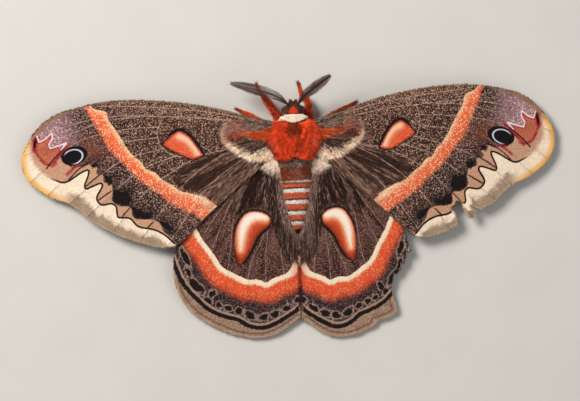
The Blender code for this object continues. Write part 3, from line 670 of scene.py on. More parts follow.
FOREWING_OUTLINE = (
    (12.2, 6.9), (20.5, 9.3), (28.8, 11.1), (40.0, 12.6), (51.1, 12.8), (60.0, 11.5),
    (68.1, 9.0), (74.0, 3.6), (76.9, -3.0), (74.9, -8.9), (69.0, -13.3), (63.1, -15.8),
    (56.9, -21.0), (50.5, -24.7), (42.5, -27.6), (37.0, -28.6), (33.0, -27.4),
    (25.3, -20.3), (17.2, -13.3), (9.6, -6.9),
)
FOREWING_ROOT = ((3.0, 4.4), (3.0, -4.0))
HINDWING_OUTLINE = (
    (14.0, -5.6), (24.0, -14.0), (32.0, -21.5), (34.3, -28.0), (35.4, -36.5),
    (33.2, -43.9), (28.4, -49.0), (22.8, -52.3), (17.3, -54.4), (11.8, -55.1),
    (7.0, -54.0), (3.2, -51.8), (0.9, -50.2),
)
HINDWING_ROOT = (3.0, -2.6)
MIDLINE_CLEARANCE = 0.12
FOREWING_VEINS = (
    ((7.2, 4.4), (19.2, 7.8), (31.7, 9.8), (42.8, 11.0), (54.9, 11.6)),
    ((7.3, 3.2), (17.8, 6.0), (27.6, 7.2), (37.4, 8.0), (48.6, 8.6), (58.4, 7.6),
     (71.8, 3.6), (75.2, 1.8)),
    ((43.0, 8.1), (51.4, 7.5), (59.9, 5.1), (67.0, 2.3), (76.0, -1.4)),
    ((37.5, 5.1), (45.9, 4.9), (52.9, 3.9), (58.6, 2.6), (64.0, 0.0), (75.0, -9.2)),
    ((38.2, 2.1), (47.4, 1.3), (54.5, -0.4), (60.3, -4.4), (70.2, -13.0)),
    ((37.2, -1.1), (46.2, -3.2), (53.4, -6.9), (64.0, -15.6)),
    ((33.3, -3.2), (42.1, -6.2), (50.8, -12.3), (59.4, -19.6)),
    ((26.6, -3.3), (34.6, -7.6), (42.4, -13.2), (52.4, -24.2)),
    ((15.9, -1.3), (25.3, -6.3), (34.0, -13.8), (44.8, -27.2)),
    ((7.4, 1.7), (16.7, -1.2), (25.2, -3.1), (30.8, -3.6), (35.5, -2.3), (37.9, 0.6),
     (38.1, 4.3), (36.8, 7.6)),
    ((7.5, -1.9), (16.9, -6.3), (25.6, -13.3), (36.8, -28.4)),
)
HINDWING_VEINS = (
    ((8.2, -5.3), (15.7, -10.6), (23.8, -18.1), (29.7, -24.1), (35.0, -34.8)),
    ((9.4, -7.5), (17.2, -13.9), (24.0, -22.0), (29.9, -31.3), (34.6, -42.3)),
    ((16.9, -13.6), (20.3, -20.5), (24.3, -30.4), (30.2, -48.0)),
    ((15.9, -14.8), (18.1, -22.3), (19.7, -33.4), (24.0, -52.4)),
    ((8.3, -22.7), (10.8, -28.7), (13.8, -34.8), (15.3, -44.2), (16.8, -55.0)),
    ((7.0, -16.5), (8.8, -27.7), (9.5, -37.5), (9.3, -55.6)),
    ((5.6, -10.2), (5.6, -20.8), (4.8, -33.4), (3.8, -44.7), (3.6, -52.6)),
)
VEINS = {"forewing": FOREWING_VEINS, "hindwing": HINDWING_VEINS}
# Torn and worn stretches of the right wings' margins, as they lie
FOREWING_TEAR = (
    (54.6, -19.8), (52.9, -20.6), (51.6, -21.5), (50.3, -20.9), (48.6, -20.1),
    (48.6, -20.8), (49.5, -21.4), (50.3, -22.1), (49.5, -23.7), (48.2, -24.0),
    (47.3, -22.4), (46.4, -20.7), (46.2, -19.6), (45.5, -18.9), (44.5, -18.8),
    (44.2, -19.8), (43.0, -20.9), (43.8, -21.6), (44.3, -22.5), (44.6, -24.2),
    (44.5, -25.7), (42.5, -26.3),
)
HINDWING_WEAR = (
    (29.1, -25.2), (29.8, -26.7), (30.6, -29.8), (31.4, -32.2), (30.8, -32.6),
    (30.3, -32.3), (29.6, -34.8), (29.0, -36.0), (28.3, -35.3), (28.3, -37.3),
    (27.2, -38.7), (26.3, -38.3), (25.9, -40.8), (25.4, -42.2), (25.7, -43.9),
    (26.1, -45.9), (27.1, -49.3), (24.2, -50.8), (20.8, -51.8),
)
WEAR = {("forewing", "right"): FOREWING_TEAR, ("hindwing", "right"): HINDWING_WEAR}
# How an outline is fitted to its side: pivot, span, chord and turn in degrees
FITS = {
    ("forewing", "left"): (6.0, 1.0, 1.0, 0.0),
    ("hindwing", "left"): (4.5, 1.0, 1.0, 0.0),
    ("forewing", "right"): (6.0, 0.945, 1.013, 0.95),
    ("hindwing", "right"): (4.5, 0.885, 1.013, 0.95),
}

# Where the right wings' design lies, as pairs of left place and right place
FOREWING_LANDMARKS = (
    ((7.2, 4.4), (7.1, 4.5)), ((7.5, -1.9), (7.4, -1.9)), ((18.0, -0.7), (17.0, -0.7)),
    ((31.2, 0.0), (28.7, 0.7)), ((57.3, 11.3), (52.4, 12.6)), ((25.5, -18.4), (24.0, -18.6)),
    ((47.8, -2.6), (43.5, -2.4)), ((36.5, -13.4), (34.5, -12.3)), ((61.7, -1.9), (57.7, -0.9)),
    ((58.2, -6.3), (55.1, -5.5)), ((54.6, -10.2), (51.6, -9.6)), ((52.0, -15.8), (48.3, -15.3)),
    ((44.7, -22.5), (42.7, -22.1)), ((36.5, -26.0), (34.7, -25.5)), ((68.0, 4.4), (64.0, 5.6)),
    ((68.8, 0.3), (64.6, 1.2)), ((73.1, 0.9), (68.6, 2.4)), ((76.9, -3.0), (73.0, -1.9)),
    ((40.0, 12.6), (38.1, 13.3)), ((69.0, -13.3), (65.5, -12.5)), ((37.0, -28.6), (35.3, -28.5)),
)
HINDWING_LANDMARKS = (
    ((8.2, -5.3), (8.0, -5.3)), ((12.1, -19.4), (10.9, -19.2)), ((16.9, -34.1), (15.3, -34.1)),
    ((18.1, -28.0), (16.3, -28.5)), ((28.5, -23.8), (25.6, -23.1)), ((23.8, -31.3), (21.8, -30.4)),
    ((14.5, -38.7), (13.5, -38.8)), ((9.3, -39.7), (8.4, -39.6)), ((1.5, -34.1), (1.5, -34.0)),
    ((22.8, -52.3), (20.8, -51.8)), ((11.8, -55.1), (11.0, -55.7)), ((35.4, -36.5), (31.6, -36.6)),
    ((1.0, -50.2), (1.0, -50.6)), ((24.0, -14.0), (21.7, -13.9)),
)
LANDMARKS = {"forewing": FOREWING_LANDMARKS, "hindwing": HINDWING_LANDMARKS}

# How the wings lie: they sink from the root to the margin, and ripple near it
WING_ROOT_HEIGHT = 8.7
WING_SINK = 6.2
WING_SINK_POWER = 1.3
WING_REACH = (72.0, 58.0)
HINDWING_DROP = 1.0
SHEET_HALF = 0.1
SHEET_STEP = 0.32
ROW_SHARE = 0.87
EDGE_SHARE = 0.45
VEIN_RISE = 0.12
VEIN_WIDTH = 0.4
CELL_SAG = 0.16
SAG_WIDTH = 1.8
RIPPLE_RISE = 0.2
RIPPLE_LENGTH = 6.2
RIPPLE_REACH = 4.0
# Where the hairs of the wings' ground spread from
FLOW_CENTRE = (3.0, 3.0)


def thin_plate(source, target):
    """A smooth map of the plane that carries each source point onto its target."""
    source = np.array(source, float)
    target = np.array(target, float)

    def kernel(points):
        square = ((points[:, None] - source[None]) ** 2).sum(-1)
        return 0.5 * square * np.log(square + 1e-9)

    count = len(source)
    left = np.zeros((count + 3, count + 3))
    left[:count, :count] = kernel(source)
    left[:count, count] = 1.0
    left[:count, count + 1:] = source
    left[count:, :count] = left[:count, count:].T
    right = np.vstack([target, np.zeros((3, 2))])
    weights = np.linalg.solve(left, right)
    return lambda p: kernel(p) @ weights[:count] + weights[count] + p @ weights[count + 1:]


def fit_to_side(points, kind, side):
    """Outline points of the left wing turned and scaled to a side."""
    pivot, span, chord, sweep = FITS[kind, side]
    x, y = np.array(points, float).T
    return toward(math.radians(sweep), (x - pivot) * span) + rows(pivot, y * chord)


def design_places(points, kind, side):
    """Each point's place in the left wing's design."""
    if side == "left":
        return points
    left, right = zip(*LANDMARKS[kind])
    return thin_plate(right, left)(points)


def vein_path(vein, kind, side):
    """A vein on one side, from its points in the left wing's design."""
    points = smooth_path(vein, 1.0)
    if side == "left":
        return points
    left, right = zip(*LANDMARKS[kind])
    return thin_plate(left, right)(points)


def worn(curve, kind, side):
    """The margin with its torn or worn stretch, if this wing has one, put in its place."""
    stretch = WEAR.get((kind, side))
    if stretch is None:
        return curve
    stretch = np.array(stretch)
    first, last = (int(np.hypot(*(curve - place).T).argmin())
                   for place in (stretch[0], stretch[-1]))
    ragged = np.vstack([np.linspace(a, b, max(2, int(np.hypot(*(b - a)) / SHEET_STEP)) + 1)[:-1]
                        for a, b in zip(stretch[:-1], stretch[1:])])
    return np.vstack([curve[:first], ragged, stretch[-1:], curve[last + 1:]])


def wing_outline(kind, side):
    """The whole outline, and how many of its points are free margin."""
    if kind == "forewing":
        margin = fit_to_side(FOREWING_OUTLINE, kind, side)
        ends = np.vstack([FOREWING_ROOT[0], margin, FOREWING_ROOT[1]])
        free = worn(smooth_path(ends, SHEET_STEP), kind, side)
        root = np.linspace(*np.array(FOREWING_ROOT), 20)[::-1][1:-1]
        return np.vstack([free, root]), len(free)
    margin = fit_to_side(HINDWING_OUTLINE, kind, side)
    free = worn(smooth_path(np.vstack([HINDWING_ROOT, margin]), SHEET_STEP), kind, side)
    y = np.arange(free[-1, 1] + SHEET_STEP, HINDWING_ROOT[1] - SHEET_STEP, SHEET_STEP)
    beside = np.where(y > TAIL_END - 1.0, body_at(y)[0] - 0.6, 0.0)
    return np.vstack([free, rows(np.maximum(beside, MIDLINE_CLEARANCE), y)]), len(free)


def wing_height(x, y):
    out = np.maximum(np.abs(x) - 5.0, 0.0) / WING_REACH[0]
    back = np.maximum(3.0 - y, 0.0) / WING_REACH[1]
    return WING_ROOT_HEIGHT - WING_SINK * np.hypot(out, back) ** WING_SINK_POWER


def sheet_plan(outline):
    """An even net of triangles inside an outline; its first points are the outline's."""
    low, high = outline.min(axis=0), outline.max(axis=0)
    lines = np.arange(low[1], high[1], SHEET_STEP * ROW_SHARE)
    starts = low[0] + 0.5 * SHEET_STEP * (np.arange(len(lines)) % 2)
    points = np.vstack([rows(np.arange(start, high[0], SHEET_STEP), y)
                        for start, y in zip(starts, lines)])
    points = points[inside(points, outline)]
    loop = np.vstack([outline, outline[:1]])
    points = points[nearest(points, loop)[0] > EDGE_SHARE * SHEET_STEP]
    every = [Vector(p) for p in np.vstack([outline, points])]
    flat = delaunay_2d_cdt(every, [], [list(range(len(outline)))], 1, 1e-5)
    return np.array([tuple(p) for p in flat[0]]), np.array(flat[2])


def sheet_solid(plan, tris, height, sign):
    """A thin closed sheet with a net of triangles above and below and a rim between."""
    a, b, c = (plan[tris[:, k]] for k in range(3))
    area = (b[:, 0] - a[:, 0]) * (c[:, 1] - a[:, 1]) - (b[:, 1] - a[:, 1]) * (c[:, 0] - a[:, 0])
    tris = np.where((area * sign > 0)[:, None], tris, tris[:, ::-1])
    x, y = plan[:, 0] * sign, plan[:, 1]
    count = len(plan)
    start, end = np.vstack([tris[:, [0, 1]], tris[:, [1, 2]], tris[:, [2, 0]]]).T
    lone = ~np.isin(start * count + end, end * count + start)
    start, end = start[lone], end[lone]
    rim = np.vstack([rows(end, start, start + count), rows(end, start + count, end + count)])
    return (np.vstack([rows(x, y, height + SHEET_HALF), rows(x, y, height - SHEET_HALF)]),
            np.vstack([tris, tris[:, ::-1] + count, rim]))


class Wing:
    """One wing's outline, its net of points and the distances that its markings need."""

    def __init__(self, kind, side):
        self.kind = kind
        self.side = side
        self.sign = SIGNS[side]
        self.outline, self.free = wing_outline(kind, side)
        self.plan, self.tris = sheet_plan(self.outline)
        self.edge, self.along = nearest(self.plan, self.outline[:self.free])
        self.vein = np.min([nearest(self.plan, vein_path(vein, kind, side))[0]
                            for vein in VEINS[kind]], axis=0)

    def height(self, points):
        """The sheet's middle height without its fine relief."""
        drop = HINDWING_DROP if self.kind == "hindwing" else 0.0
        return wing_height(*points.T) - drop

    def relief(self):
        """Raised veins, sagging cells between them and a rippled margin."""
        out = ramp(self.plan[:, 0], 6.0, 16.0)
        ridge = VEIN_RISE * np.exp(-(self.vein / VEIN_WIDTH) ** 2)
        sag = CELL_SAG * (1 - np.exp(-(self.vein / SAG_WIDTH) ** 2))
        near = np.clip(1 - self.edge / RIPPLE_REACH, 0.0, 1.0) ** 1.5
        ripple = RIPPLE_RISE * near * np.sin(self.along * math.tau / RIPPLE_LENGTH)
        return out * (ridge - sag + ripple)

    def add(self, look, values):
        """Build the sheet and keep the marking distances on both of its faces."""
        height = self.height(self.plan) + self.relief()
        verts, faces = sheet_solid(self.plan, self.tris, height, self.sign)
        sheet = make_piece(f"{self.kind}_{self.side}_sheet", verts, faces, look, "wing_scales")
        for name, value in values.items():
            add_values(sheet, name, np.concatenate([value, value]))
        add_values(sheet, "under", np.repeat([0.0, 1.0], len(self.plan)))
        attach(sheet, "root")
        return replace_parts(sheet, f"{self.kind}_{self.side}")

    def flow(self, spin, run):
        """Coordinates across and along hairs that spread from the wing's root."""
        x, y = (self.plan - np.array(FLOW_CENTRE)).T
        return rows(np.arctan2(y, x) * spin, np.hypot(x, y) * run, 0.0)


def wing_graph(name, reach):
    """A wing's shader, with the noises that its markings share."""
    g = Graph(name, 0.85, 0.12)
    grain = g.noise(1.6, 3.0)
    fine = g.noise(4.5)
    streaks = g.noise(1.0, 3.0, 0.6, g.read("flow", "Vector"))
    return g, grain, fine, streaks, grain.swing(reach) + fine.swing(reach)


def finish_wing(g, colour, vein, streaks):
    """Make the underside greyer and add the relief of overlapping scales, hairs and veins."""
    relief = g.cells(5.5) * 0.5 + streaks * 0.7 + vein.step(0.30, 0.0) * 1.2
    return g.finish(g.paint(colour, (g["under"] * 0.35, "A6958A")), relief, 0.07)


# The forewing's markings

BAND_INNER = (
    (60.0, 16.0), (56.3, 11.2), (52.7, 9.9), (52.0, 7.6), (50.4, 5.3), (48.8, 2.7),
    (47.5, 0.2), (45.6, -2.4), (43.2, -4.5), (41.9, -6.5), (39.4, -7.7), (37.5, -9.7),
    (34.8, -11.2), (32.6, -13.0), (29.8, -13.8), (27.3, -14.6), (25.4, -15.5), (23.8, -16.7),
    (21.0, -19.0), (16.0, -24.0),
)
BAND_OUTER = (
    (61.5, 16.0), (58.3, 11.6), (57.0, 8.4), (55.4, 5.5), (53.8, 2.7), (52.3, -0.2),
    (50.1, -2.8), (48.0, -5.1), (45.8, -7.5), (43.7, -9.8), (41.0, -11.8), (38.2, -13.9),
    (35.5, -16.3), (32.8, -17.8), (30.0, -19.3), (27.3, -20.8), (23.0, -26.0),
)
OUTWARD_CORNERS = ((30.0, -60.0), (110.0, -60.0), (110.0, 40.0))
TOOTH_LINE = (
    (75.6, 8.0), (74.6, 1.5), (74.2, -2.4), (72.6, -5.0), (71.0, -6.7), (69.1, -7.9),
    (65.8, -9.3), (63.8, -9.0), (61.0, -7.3), (59.5, -6.5), (58.1, -6.2), (58.2, -7.6),
    (59.3, -10.4), (58.9, -11.4), (57.2, -10.8), (54.8, -10.0), (54.4, -11.0), (55.9, -13.5),
    (55.9, -14.9), (54.6, -16.1), (52.0, -15.8), (50.7, -16.8), (50.5, -18.8), (50.0, -19.8),
    (46.9, -20.2), (44.7, -22.5), (40.6, -23.5), (38.1, -24.7), (36.0, -26.4), (33.0, -29.5),
)
TAN_LINE = (
    (76.5, 7.0), (74.0, 3.0), (71.0, -1.0), (66.6, -1.6), (64.7, -3.9), (62.6, -5.2),
    (59.2, -4.9), (57.2, -4.2), (55.6, -5.5), (55.9, -7.3), (54.0, -7.8), (53.9, -9.7),
    (51.8, -10.4), (51.6, -13.4), (51.9, -14.8), (49.8, -16.6), (46.7, -17.0), (46.2, -19.6),
    (44.1, -20.5), (40.7, -20.8), (38.5, -21.9), (37.8, -23.9), (36.0, -25.9), (33.0, -29.5),
)
MARGIN_CORNERS = ((60.0, -60.0), (110.0, -30.0), (110.0, 30.0))
FOREWING_SPOT = (
    (36.8, 0.3), (35.4, 1.9), (33.6, 3.3), (32.2, 3.8), (30.6, 3.2), (28.9, 1.7),
    (27.6, 0.0), (26.5, -1.8), (25.6, -3.2), (26.9, -4.0), (28.9, -4.3), (31.1, -3.5),
    (33.3, -2.3), (35.5, -1.1),
)
SPOT_GLOW = ((32.2, 2.3), (30.0, 1.2), (28.2, -0.8), (27.2, -2.6))
EYESPOT = (61.9, -2.0)
EYESPOT_HALF = (3.85, 2.65)
EYESPOT_TILT = -15.0
PUPIL = (62.3, -2.3)
PUPIL_HALF = (2.3, 1.65)
ZIGZAG = (
    (72.3, 3.9), (71.7, 2.2), (69.9, 3.0), (68.0, 4.7), (67.9, 3.2), (69.0, 1.5),
    (68.7, 0.3), (66.2, 1.0), (64.0, 1.7), (65.6, -0.3),
)
RED_FILL = (
    (72.3, 3.6), (71.7, 2.2), (69.9, 3.0), (68.2, 4.3), (68.2, 3.2), (69.2, 1.5),
    (68.7, 0.1), (66.2, 0.7), (65.2, -0.8), (66.6, -2.6), (68.2, -4.6), (70.6, -4.0),
    (72.3, -1.2), (73.1, 1.4),
)
APEX_STREAK = ((72.5, 3.1), (73.0, 1.6), (73.1, 0.4))
RED_STREAKS = (
    ((63.2, 1.2), (64.8, -0.4), (66.6, -2.4), (68.2, -4.6)),
    ((67.2, -4.0), (68.6, -4.4), (70.6, -3.6), (72.2, -1.6), (73.2, 0.2)),
    ((60.6, -4.2), (62.4, -5.5), (64.2, -7.1)),
)
BASE_ARC = ((18.9, 4.6), (19.6, 2.8), (19.2, 1.0), (17.9, -0.8), (15.4, -2.8), (12.6, -4.3),
            (9.3, -4.2), (7.0, -3.1))
BASE_RED = ((5.6, 1.9), (8.8, 1.7), (12.4, 2.2), (15.4, 3.4))
BASE_DARK = ((6.0, -0.7), (9.5, -1.6), (13.0, -1.3), (16.0, 0.4))
BLOTS = (
    ((51.3, -11.7), (49.2, -12.6), (47.3, -12.5), (46.3, -15.0), (47.1, -16.5),
     (48.8, -16.3), (51.3, -15.5)),
    ((46.3, -16.8), (44.3, -17.9), (43.0, -18.6), (40.5, -18.7), (40.9, -20.3),
     (43.0, -20.4), (45.5, -20.1)),
    ((53.6, -7.9), (51.7, -8.5), (51.5, -10.0), (52.5, -10.5), (53.5, -9.1)),
    ((38.9, -21.2), (36.4, -21.7), (34.9, -23.9), (36.2, -24.3), (37.9, -22.7)),
    ((57.5, -4.4), (55.7, -4.3), (55.4, -5.2), (56.8, -5.8)),
)
DARK_STREAKS = (
    ((58.9, -10.6), (54.2, -7.0)), ((55.5, -14.6), (51.9, -12.3)), ((49.0, -19.5), (46.4, -16.7)),
    ((42.4, -23.2), (40.5, -21.4)), ((63.8, -8.7), (60.7, -5.7), (57.5, -4.1)),
    ((69.9, -5.3), (67.7, -2.6), (64.7, 0.1)),
)


def forewing_values(wing):
    """What the forewing's material reads: distances in millimetres and soft zones."""
    p = design_places(wing.plan, wing.kind, wing.side)
    x, y = p.T
    outer = beyond(p, smooth_path(BAND_OUTER, 0.8), OUTWARD_CORNERS)
    gleam = ((p - np.array(EYESPOT)) @ np.array([-0.75, 0.66])) / 3.0
    return {
        "band_inner": beyond(p, smooth_path(BAND_INNER, 0.8), OUTWARD_CORNERS),
        "band_outer": outer,
        "tooth": beyond(p, smooth_path(TOOTH_LINE, 0.4), MARGIN_CORNERS),
        "tan": beyond(p, smooth_path(TAN_LINE, 0.5), MARGIN_CORNERS),
        "spot": signed(p, smooth_path(FOREWING_SPOT, 0.5, closed=True)),
        "spot_top": ramp(y + 0.55 * (32.0 - x), -1.5, 3.0),
        "glow": np.exp(-(line_gap(p, SPOT_GLOW) / 1.05) ** 2),
        "eyespot": ellipse(p, EYESPOT, EYESPOT_HALF, EYESPOT_TILT),
        "pupil": ellipse(p, PUPIL, PUPIL_HALF, EYESPOT_TILT),
        "gleam": ramp(gleam, -0.75, -0.25),
        "zigzag": nearest(p, np.array(ZIGZAG))[0],
        "red_fill": signed(p, np.array(RED_FILL)),
        "apex": line_gap(p, APEX_STREAK),
        "streak": line_gap(p, *RED_STREAKS),
        "dark_streak": line_gap(p, *DARK_STREAKS),
        "base_arc": line_gap(p, BASE_ARC),
        "base_red": line_gap(p, BASE_RED),
        "base_dark": line_gap(p, BASE_DARK),
        "base": ramp(x, 20.5, 14.0),
        "edge": wing.edge,
        "vein": wing.vein,
        "cream_low": ramp(x, 31.0, 23.5),
        "lilac": ramp(x, 56.5, 68.0) * ramp(y, -0.8, 1.8) * ramp(outer, 0.0, 6.0),
        "blush": np.exp(-(np.hypot(x - 57.5, (y + 1.0) * 1.2) / 5.0) ** 2) * (outer > 0),
        "apex_rim": ramp(x, 58.0, 70.0),
        "top_edge": ramp(y, -1.0, 2.0),
        "line_fade": ramp(x, 70.5, 66.5),
        "shade": ramp(x, 67.0, 62.0),
        "costa": ramp(y - (3.5 + 0.16 * np.minimum(x, 40.0)), -4.5, 1.0) * ramp(x, 62.0, 50.0),
        "brown": ramp(y - (4.0 - 0.5 * x), 1.5, -3.0) * ramp(x, 48.0, 28.0),
        "blot": np.max([signed(p, np.array(outline)) for outline in BLOTS], axis=0),
        "flow": wing.flow(24.0, 0.16),
    }


def forewing_look():
    """The forewing: speckled ground, band, apex, eyespot and toothed cream margin."""
    g, grain, fine, streaks, ragged = wing_graph("forewing_scales", 0.35)
    coarse = g.noise(0.45)
    small = ragged * 0.35
    vein, edge, brown, red_fill = g["vein"], g["edge"], g["brown"], g["red_fill"]
    inner, outer, apex_rim = g["band_inner"], g["band_outer"], g["apex_rim"]
    tooth = g["tooth"] + small * 0.5

    # The ground with its specks and pale veins, the lilac apex and the dark blots
    after = outer.step(-0.2, 0.8)
    density = g["costa"] * 0.28 + 0.30 + after * 0.03 - brown * 0.12
    pale = g.mix(fine.step(0.35, 0.65), "A8745C", "F2BC9C")
    near_zigzag = (g["zigzag"] + ragged).step(4.2, 0.8)
    lilac = g.mix(fine.step(0.32, 0.62), "664448", "BE9094")
    lilac = g.paint(g.mix(near_zigzag, g.mix(0.24, lilac, "5A4044"), lilac),
                    (g.specks(2.6, near_zigzag * 0.24 + 0.2) * 0.75, "F4D4D6"))
    rim = (apex_rim * 0.9 + 0.45 - (edge + small)).step(-0.2, 0.4) * g["top_edge"]
    blot_gap = g["blot"] + ragged * 1.5
    blot = blot_gap.step(-0.3, 0.15)
    ground = g.paint(
        g.mix(streaks.step(0.3, 0.7), "20120E", "3C2620"),
        (brown * streaks.step(0.4, 0.62), "7E523F"),
        (after * 0.5, "170E11"),
        (g.specks(3.9, density) * 0.8, g.mix(after * 0.6, pale, "C0A09C")),
        (g.specks(7.0, 0.24) * 0.5, "986C5A"),
        (g.specks(3.3, 0.14) * 0.85, g.mix(grain.step(0.35, 0.65), "B88E78", "FBD6BE")),
        (vein.step(0.21, 0.06) * fine.step(0.38, 0.56) * 0.75, "E0C0B0"),
        (g["blush"] * fine.step(0.3, 0.6), "7A3E2C"),
        ((g["lilac"] + grain.swing(0.35)).step(0.0, 1.05) * 0.92, lilac),
        (rim * 0.75, g.mix(fine, "6A4A30", "B08458")),
        (blot_gap.step(-2.9, -0.3) * fine.step(0.3, 0.6) * 0.7, "1A1011"),
        (blot * 0.95, "0E0809"))

    # The band, paler along its inner side
    share = ((inner + ragged) / (inner - outer).math("MAXIMUM", 0.5) + 0.10
             - g["cream_low"] * 0.24)
    band = g.paint(
        g.mix(share.step(0.02, 0.26), "FBDDB4", "F4A878"),
        (share.step(0.22, 0.5), "EE6E42"),
        (share.step(0.75, 1.1), "CC5232"),
        (g.specks(2.7, 0.46) * 0.8, "FFDEB8"),
        (g.specks(2.3, 0.26) * 0.75, "C8441F"))
    in_band = (inner + ragged * 0.7).step(-0.2, 0.15) * (outer + ragged * 2.2).step(0.45, -0.45)

    # The margin, outside the toothed line
    in_cream = g.mix(g["line_fade"], (tooth + ragged).step(-0.9, 0.7), tooth.step(-0.05, 0.08))
    # Painted shade: grey-brown shadows of folds over the outer half of the lower margin
    far = (tooth + coarse.swing(2.6)).step(0.9, 2.2)
    fold_shade = g["shade"] * far * (edge + coarse.swing(3.0)).step(4.2, 1.6)
    cream = g.paint(
        g.mix(grain.step(0.3, 0.7), "F1D6BA", "FFEDD4"),
        (apex_rim * edge.step(2.1, 0.4), "F2B664"),
        (fold_shade * 0.9, g.mix(fine.step(0.3, 0.7), "7C604A", "B0927A")),
        (g["shade"] * edge.step(0.45, 0.2) * 0.7, "C9AD92"),
        (vein.step(0.16, 0.05) * 0.75, "4A3226"))
    line = abs(tooth).step(0.34, 0.18) * edge.step(0.2, 0.6) * g["line_fade"]

    # The streaks and the eyespot near the apex
    apex = g["apex"]
    zigzag = g["zigzag"] + small * 0.4
    streak = (g["streak"] + small * 2.0).step(0.75, 0.2) * (grain + fine).step(0.7, 1.05)
    eye = g["eyespot"] + small * 0.4
    crescent = abs(g["pupil"] + 0.34).step(0.24, 0.08) * g["gleam"]

    # The red spot in its dark rim
    spot = g["spot"] + ragged * 0.45
    spot_rim = (spot - (g["spot_top"] + 0.35) * -0.6).step(-0.25, 0.25)
    spot_tone = g.paint(
        g.mix(spot.step(0.05, 0.9), "9C2C10", "DE5830"),
        (g["glow"] * spot.step(0.2, 1.0), "F9C8A4"),
        (g.specks(3.2, 0.3) * 0.4, "F8B48C"))

    base = g["base"]
    colour = g.paint(
        ground,
        (in_band, band),
        ((g["tan"] + ragged * 0.5).step(-0.12, 0.1) * (1.0 - blot),
         g.mix(fine.step(0.3, 0.7), "B07C5E", "DCAE90")),
        ((red_fill + small).step(-0.45, 0.6) * 0.92,
         g.mix(fine.step(0.3, 0.7), "A03E30", "D07A58")),
        (in_cream, cream),
        (line, "170D0A"),
        ((apex + ragged).step(1.2, 0.4) * 0.85, "A81C2E"),
        (apex.step(0.5, 0.3), "160C0E"),
        (streak, "A01626"),
        (zigzag.step(0.75, 0.35) * red_fill.step(-0.2, 0.1) * 0.75, "B01C30"),
        (zigzag.step(0.27, 0.1) * 0.9, "FBE6E8"),
        ((g["dark_streak"] + small).step(0.32, 0.16) * 0.9, "1E110E"),
        (eye.step(-0.05, 0.12), "0C0A0C"),
        (crescent, "D2CDD8"),
        (spot_rim, "130D0D"),
        (spot.step(0.0, 0.2), spot_tone),
        ((g["base_dark"] + ragged).step(2.0, 0.8) * base, "3A2822"),
        ((g["base_red"] + ragged).step(1.2, 0.4) * 0.7 * base, "9C3F24"),
        ((g["base_arc"] + ragged).step(1.3, 0.5) * 0.75, "C9AB90"))
    return finish_wing(g, colour, vein, streaks)


# The hindwing's markings

LUNULE = (
    (16.1, -21.5), (14.7, -20.0), (12.4, -19.3), (9.6, -19.8), (7.8, -21.0), (7.4, -22.3),
    (8.1, -23.8), (9.8, -25.1), (11.6, -27.0), (12.8, -29.5), (14.6, -32.5), (16.6, -34.5),
    (17.4, -33.5), (18.0, -30.7), (18.2, -27.9), (17.8, -25.1), (17.0, -22.9),
)
# Places along the lunule's pale core, with its half width there
LUNULE_CORE = (
    (8.9, -21.4, 0.55), (10.3, -21.0, 0.8), (12.2, -20.9, 1.0), (13.9, -21.8, 1.05),
    (15.1, -23.5, 0.95), (15.8, -25.8, 0.75), (16.1, -28.2, 0.45), (16.3, -30.2, 0.1),
)
CREAM_LINE = (
    (33.0, -16.0), (28.5, -23.8), (27.2, -26.4), (25.6, -28.7), (23.8, -31.3), (21.7, -34.7),
    (18.9, -36.5), (16.7, -37.7), (14.5, -38.7), (12.3, -38.7), (10.6, -39.2), (9.3, -39.7),
    (7.8, -38.7), (5.5, -37.9), (3.6, -37.2), (2.4, -35.8), (1.5, -34.1), (0.5, -32.8),
    (-4.0, -31.0),
)
BELOW_CORNERS = ((-4.0, -80.0), (80.0, -80.0), (80.0, -10.0))
BLACK_LINE = (
    (35.6, -31.0), (34.3, -35.1), (32.9, -38.5), (30.9, -41.3), (28.4, -44.0), (26.3, -46.0),
    (24.1, -47.4), (20.5, -48.8), (17.8, -49.6), (16.2, -50.6), (14.3, -51.6), (11.7, -52.1),
    (9.3, -51.8), (6.0, -50.4), (3.7, -49.0), (1.7, -47.8), (0.0, -46.4),
)
# Each blotch's place, half length along the black line and half width across it
BLOTCHES = (
    (31.9, -31.7, 2.6, 0.9), (31.2, -36.2, 1.7, 0.6), (29.3, -39.8, 2.9, 1.3),
    (26.1, -44.2, 1.3, 0.85), (24.7, -42.3, 0.9, 1.3), (23.0, -45.4, 0.9, 0.75),
    (20.5, -46.4, 1.05, 0.85), (17.5, -47.4, 1.15, 0.9), (14.3, -48.8, 1.6, 1.1),
    (10.6, -49.3, 1.55, 0.95), (7.3, -48.6, 1.5, 1.0), (3.7, -47.2, 1.5, 0.9),
    (0.8, -44.9, 1.2, 1.0),
)


def blotch_gap(places, line):
    """Distance to the row of blotches, each drawn out along the black line beside it."""
    gaps = []
    for x, y, *half in BLOTCHES:
        centre = np.array((x, y))
        near = line[np.clip(int(np.hypot(*(line - centre).T).argmin()), 1, len(line) - 2)]
        apart = centre - near
        tilt = math.degrees(math.atan2(apart[1], apart[0])) - 90.0
        gaps.append(ellipse(places, centre, half, tilt))
    return np.max(gaps, axis=0)


def core_gap(places):
    """Distance to the pale core of the lunule, which tapers, negative within it."""
    line = smooth_path(LUNULE_CORE, 0.3)
    return np.min([np.hypot(*(places - row[:2]).T) - row[2] for row in line], axis=0)


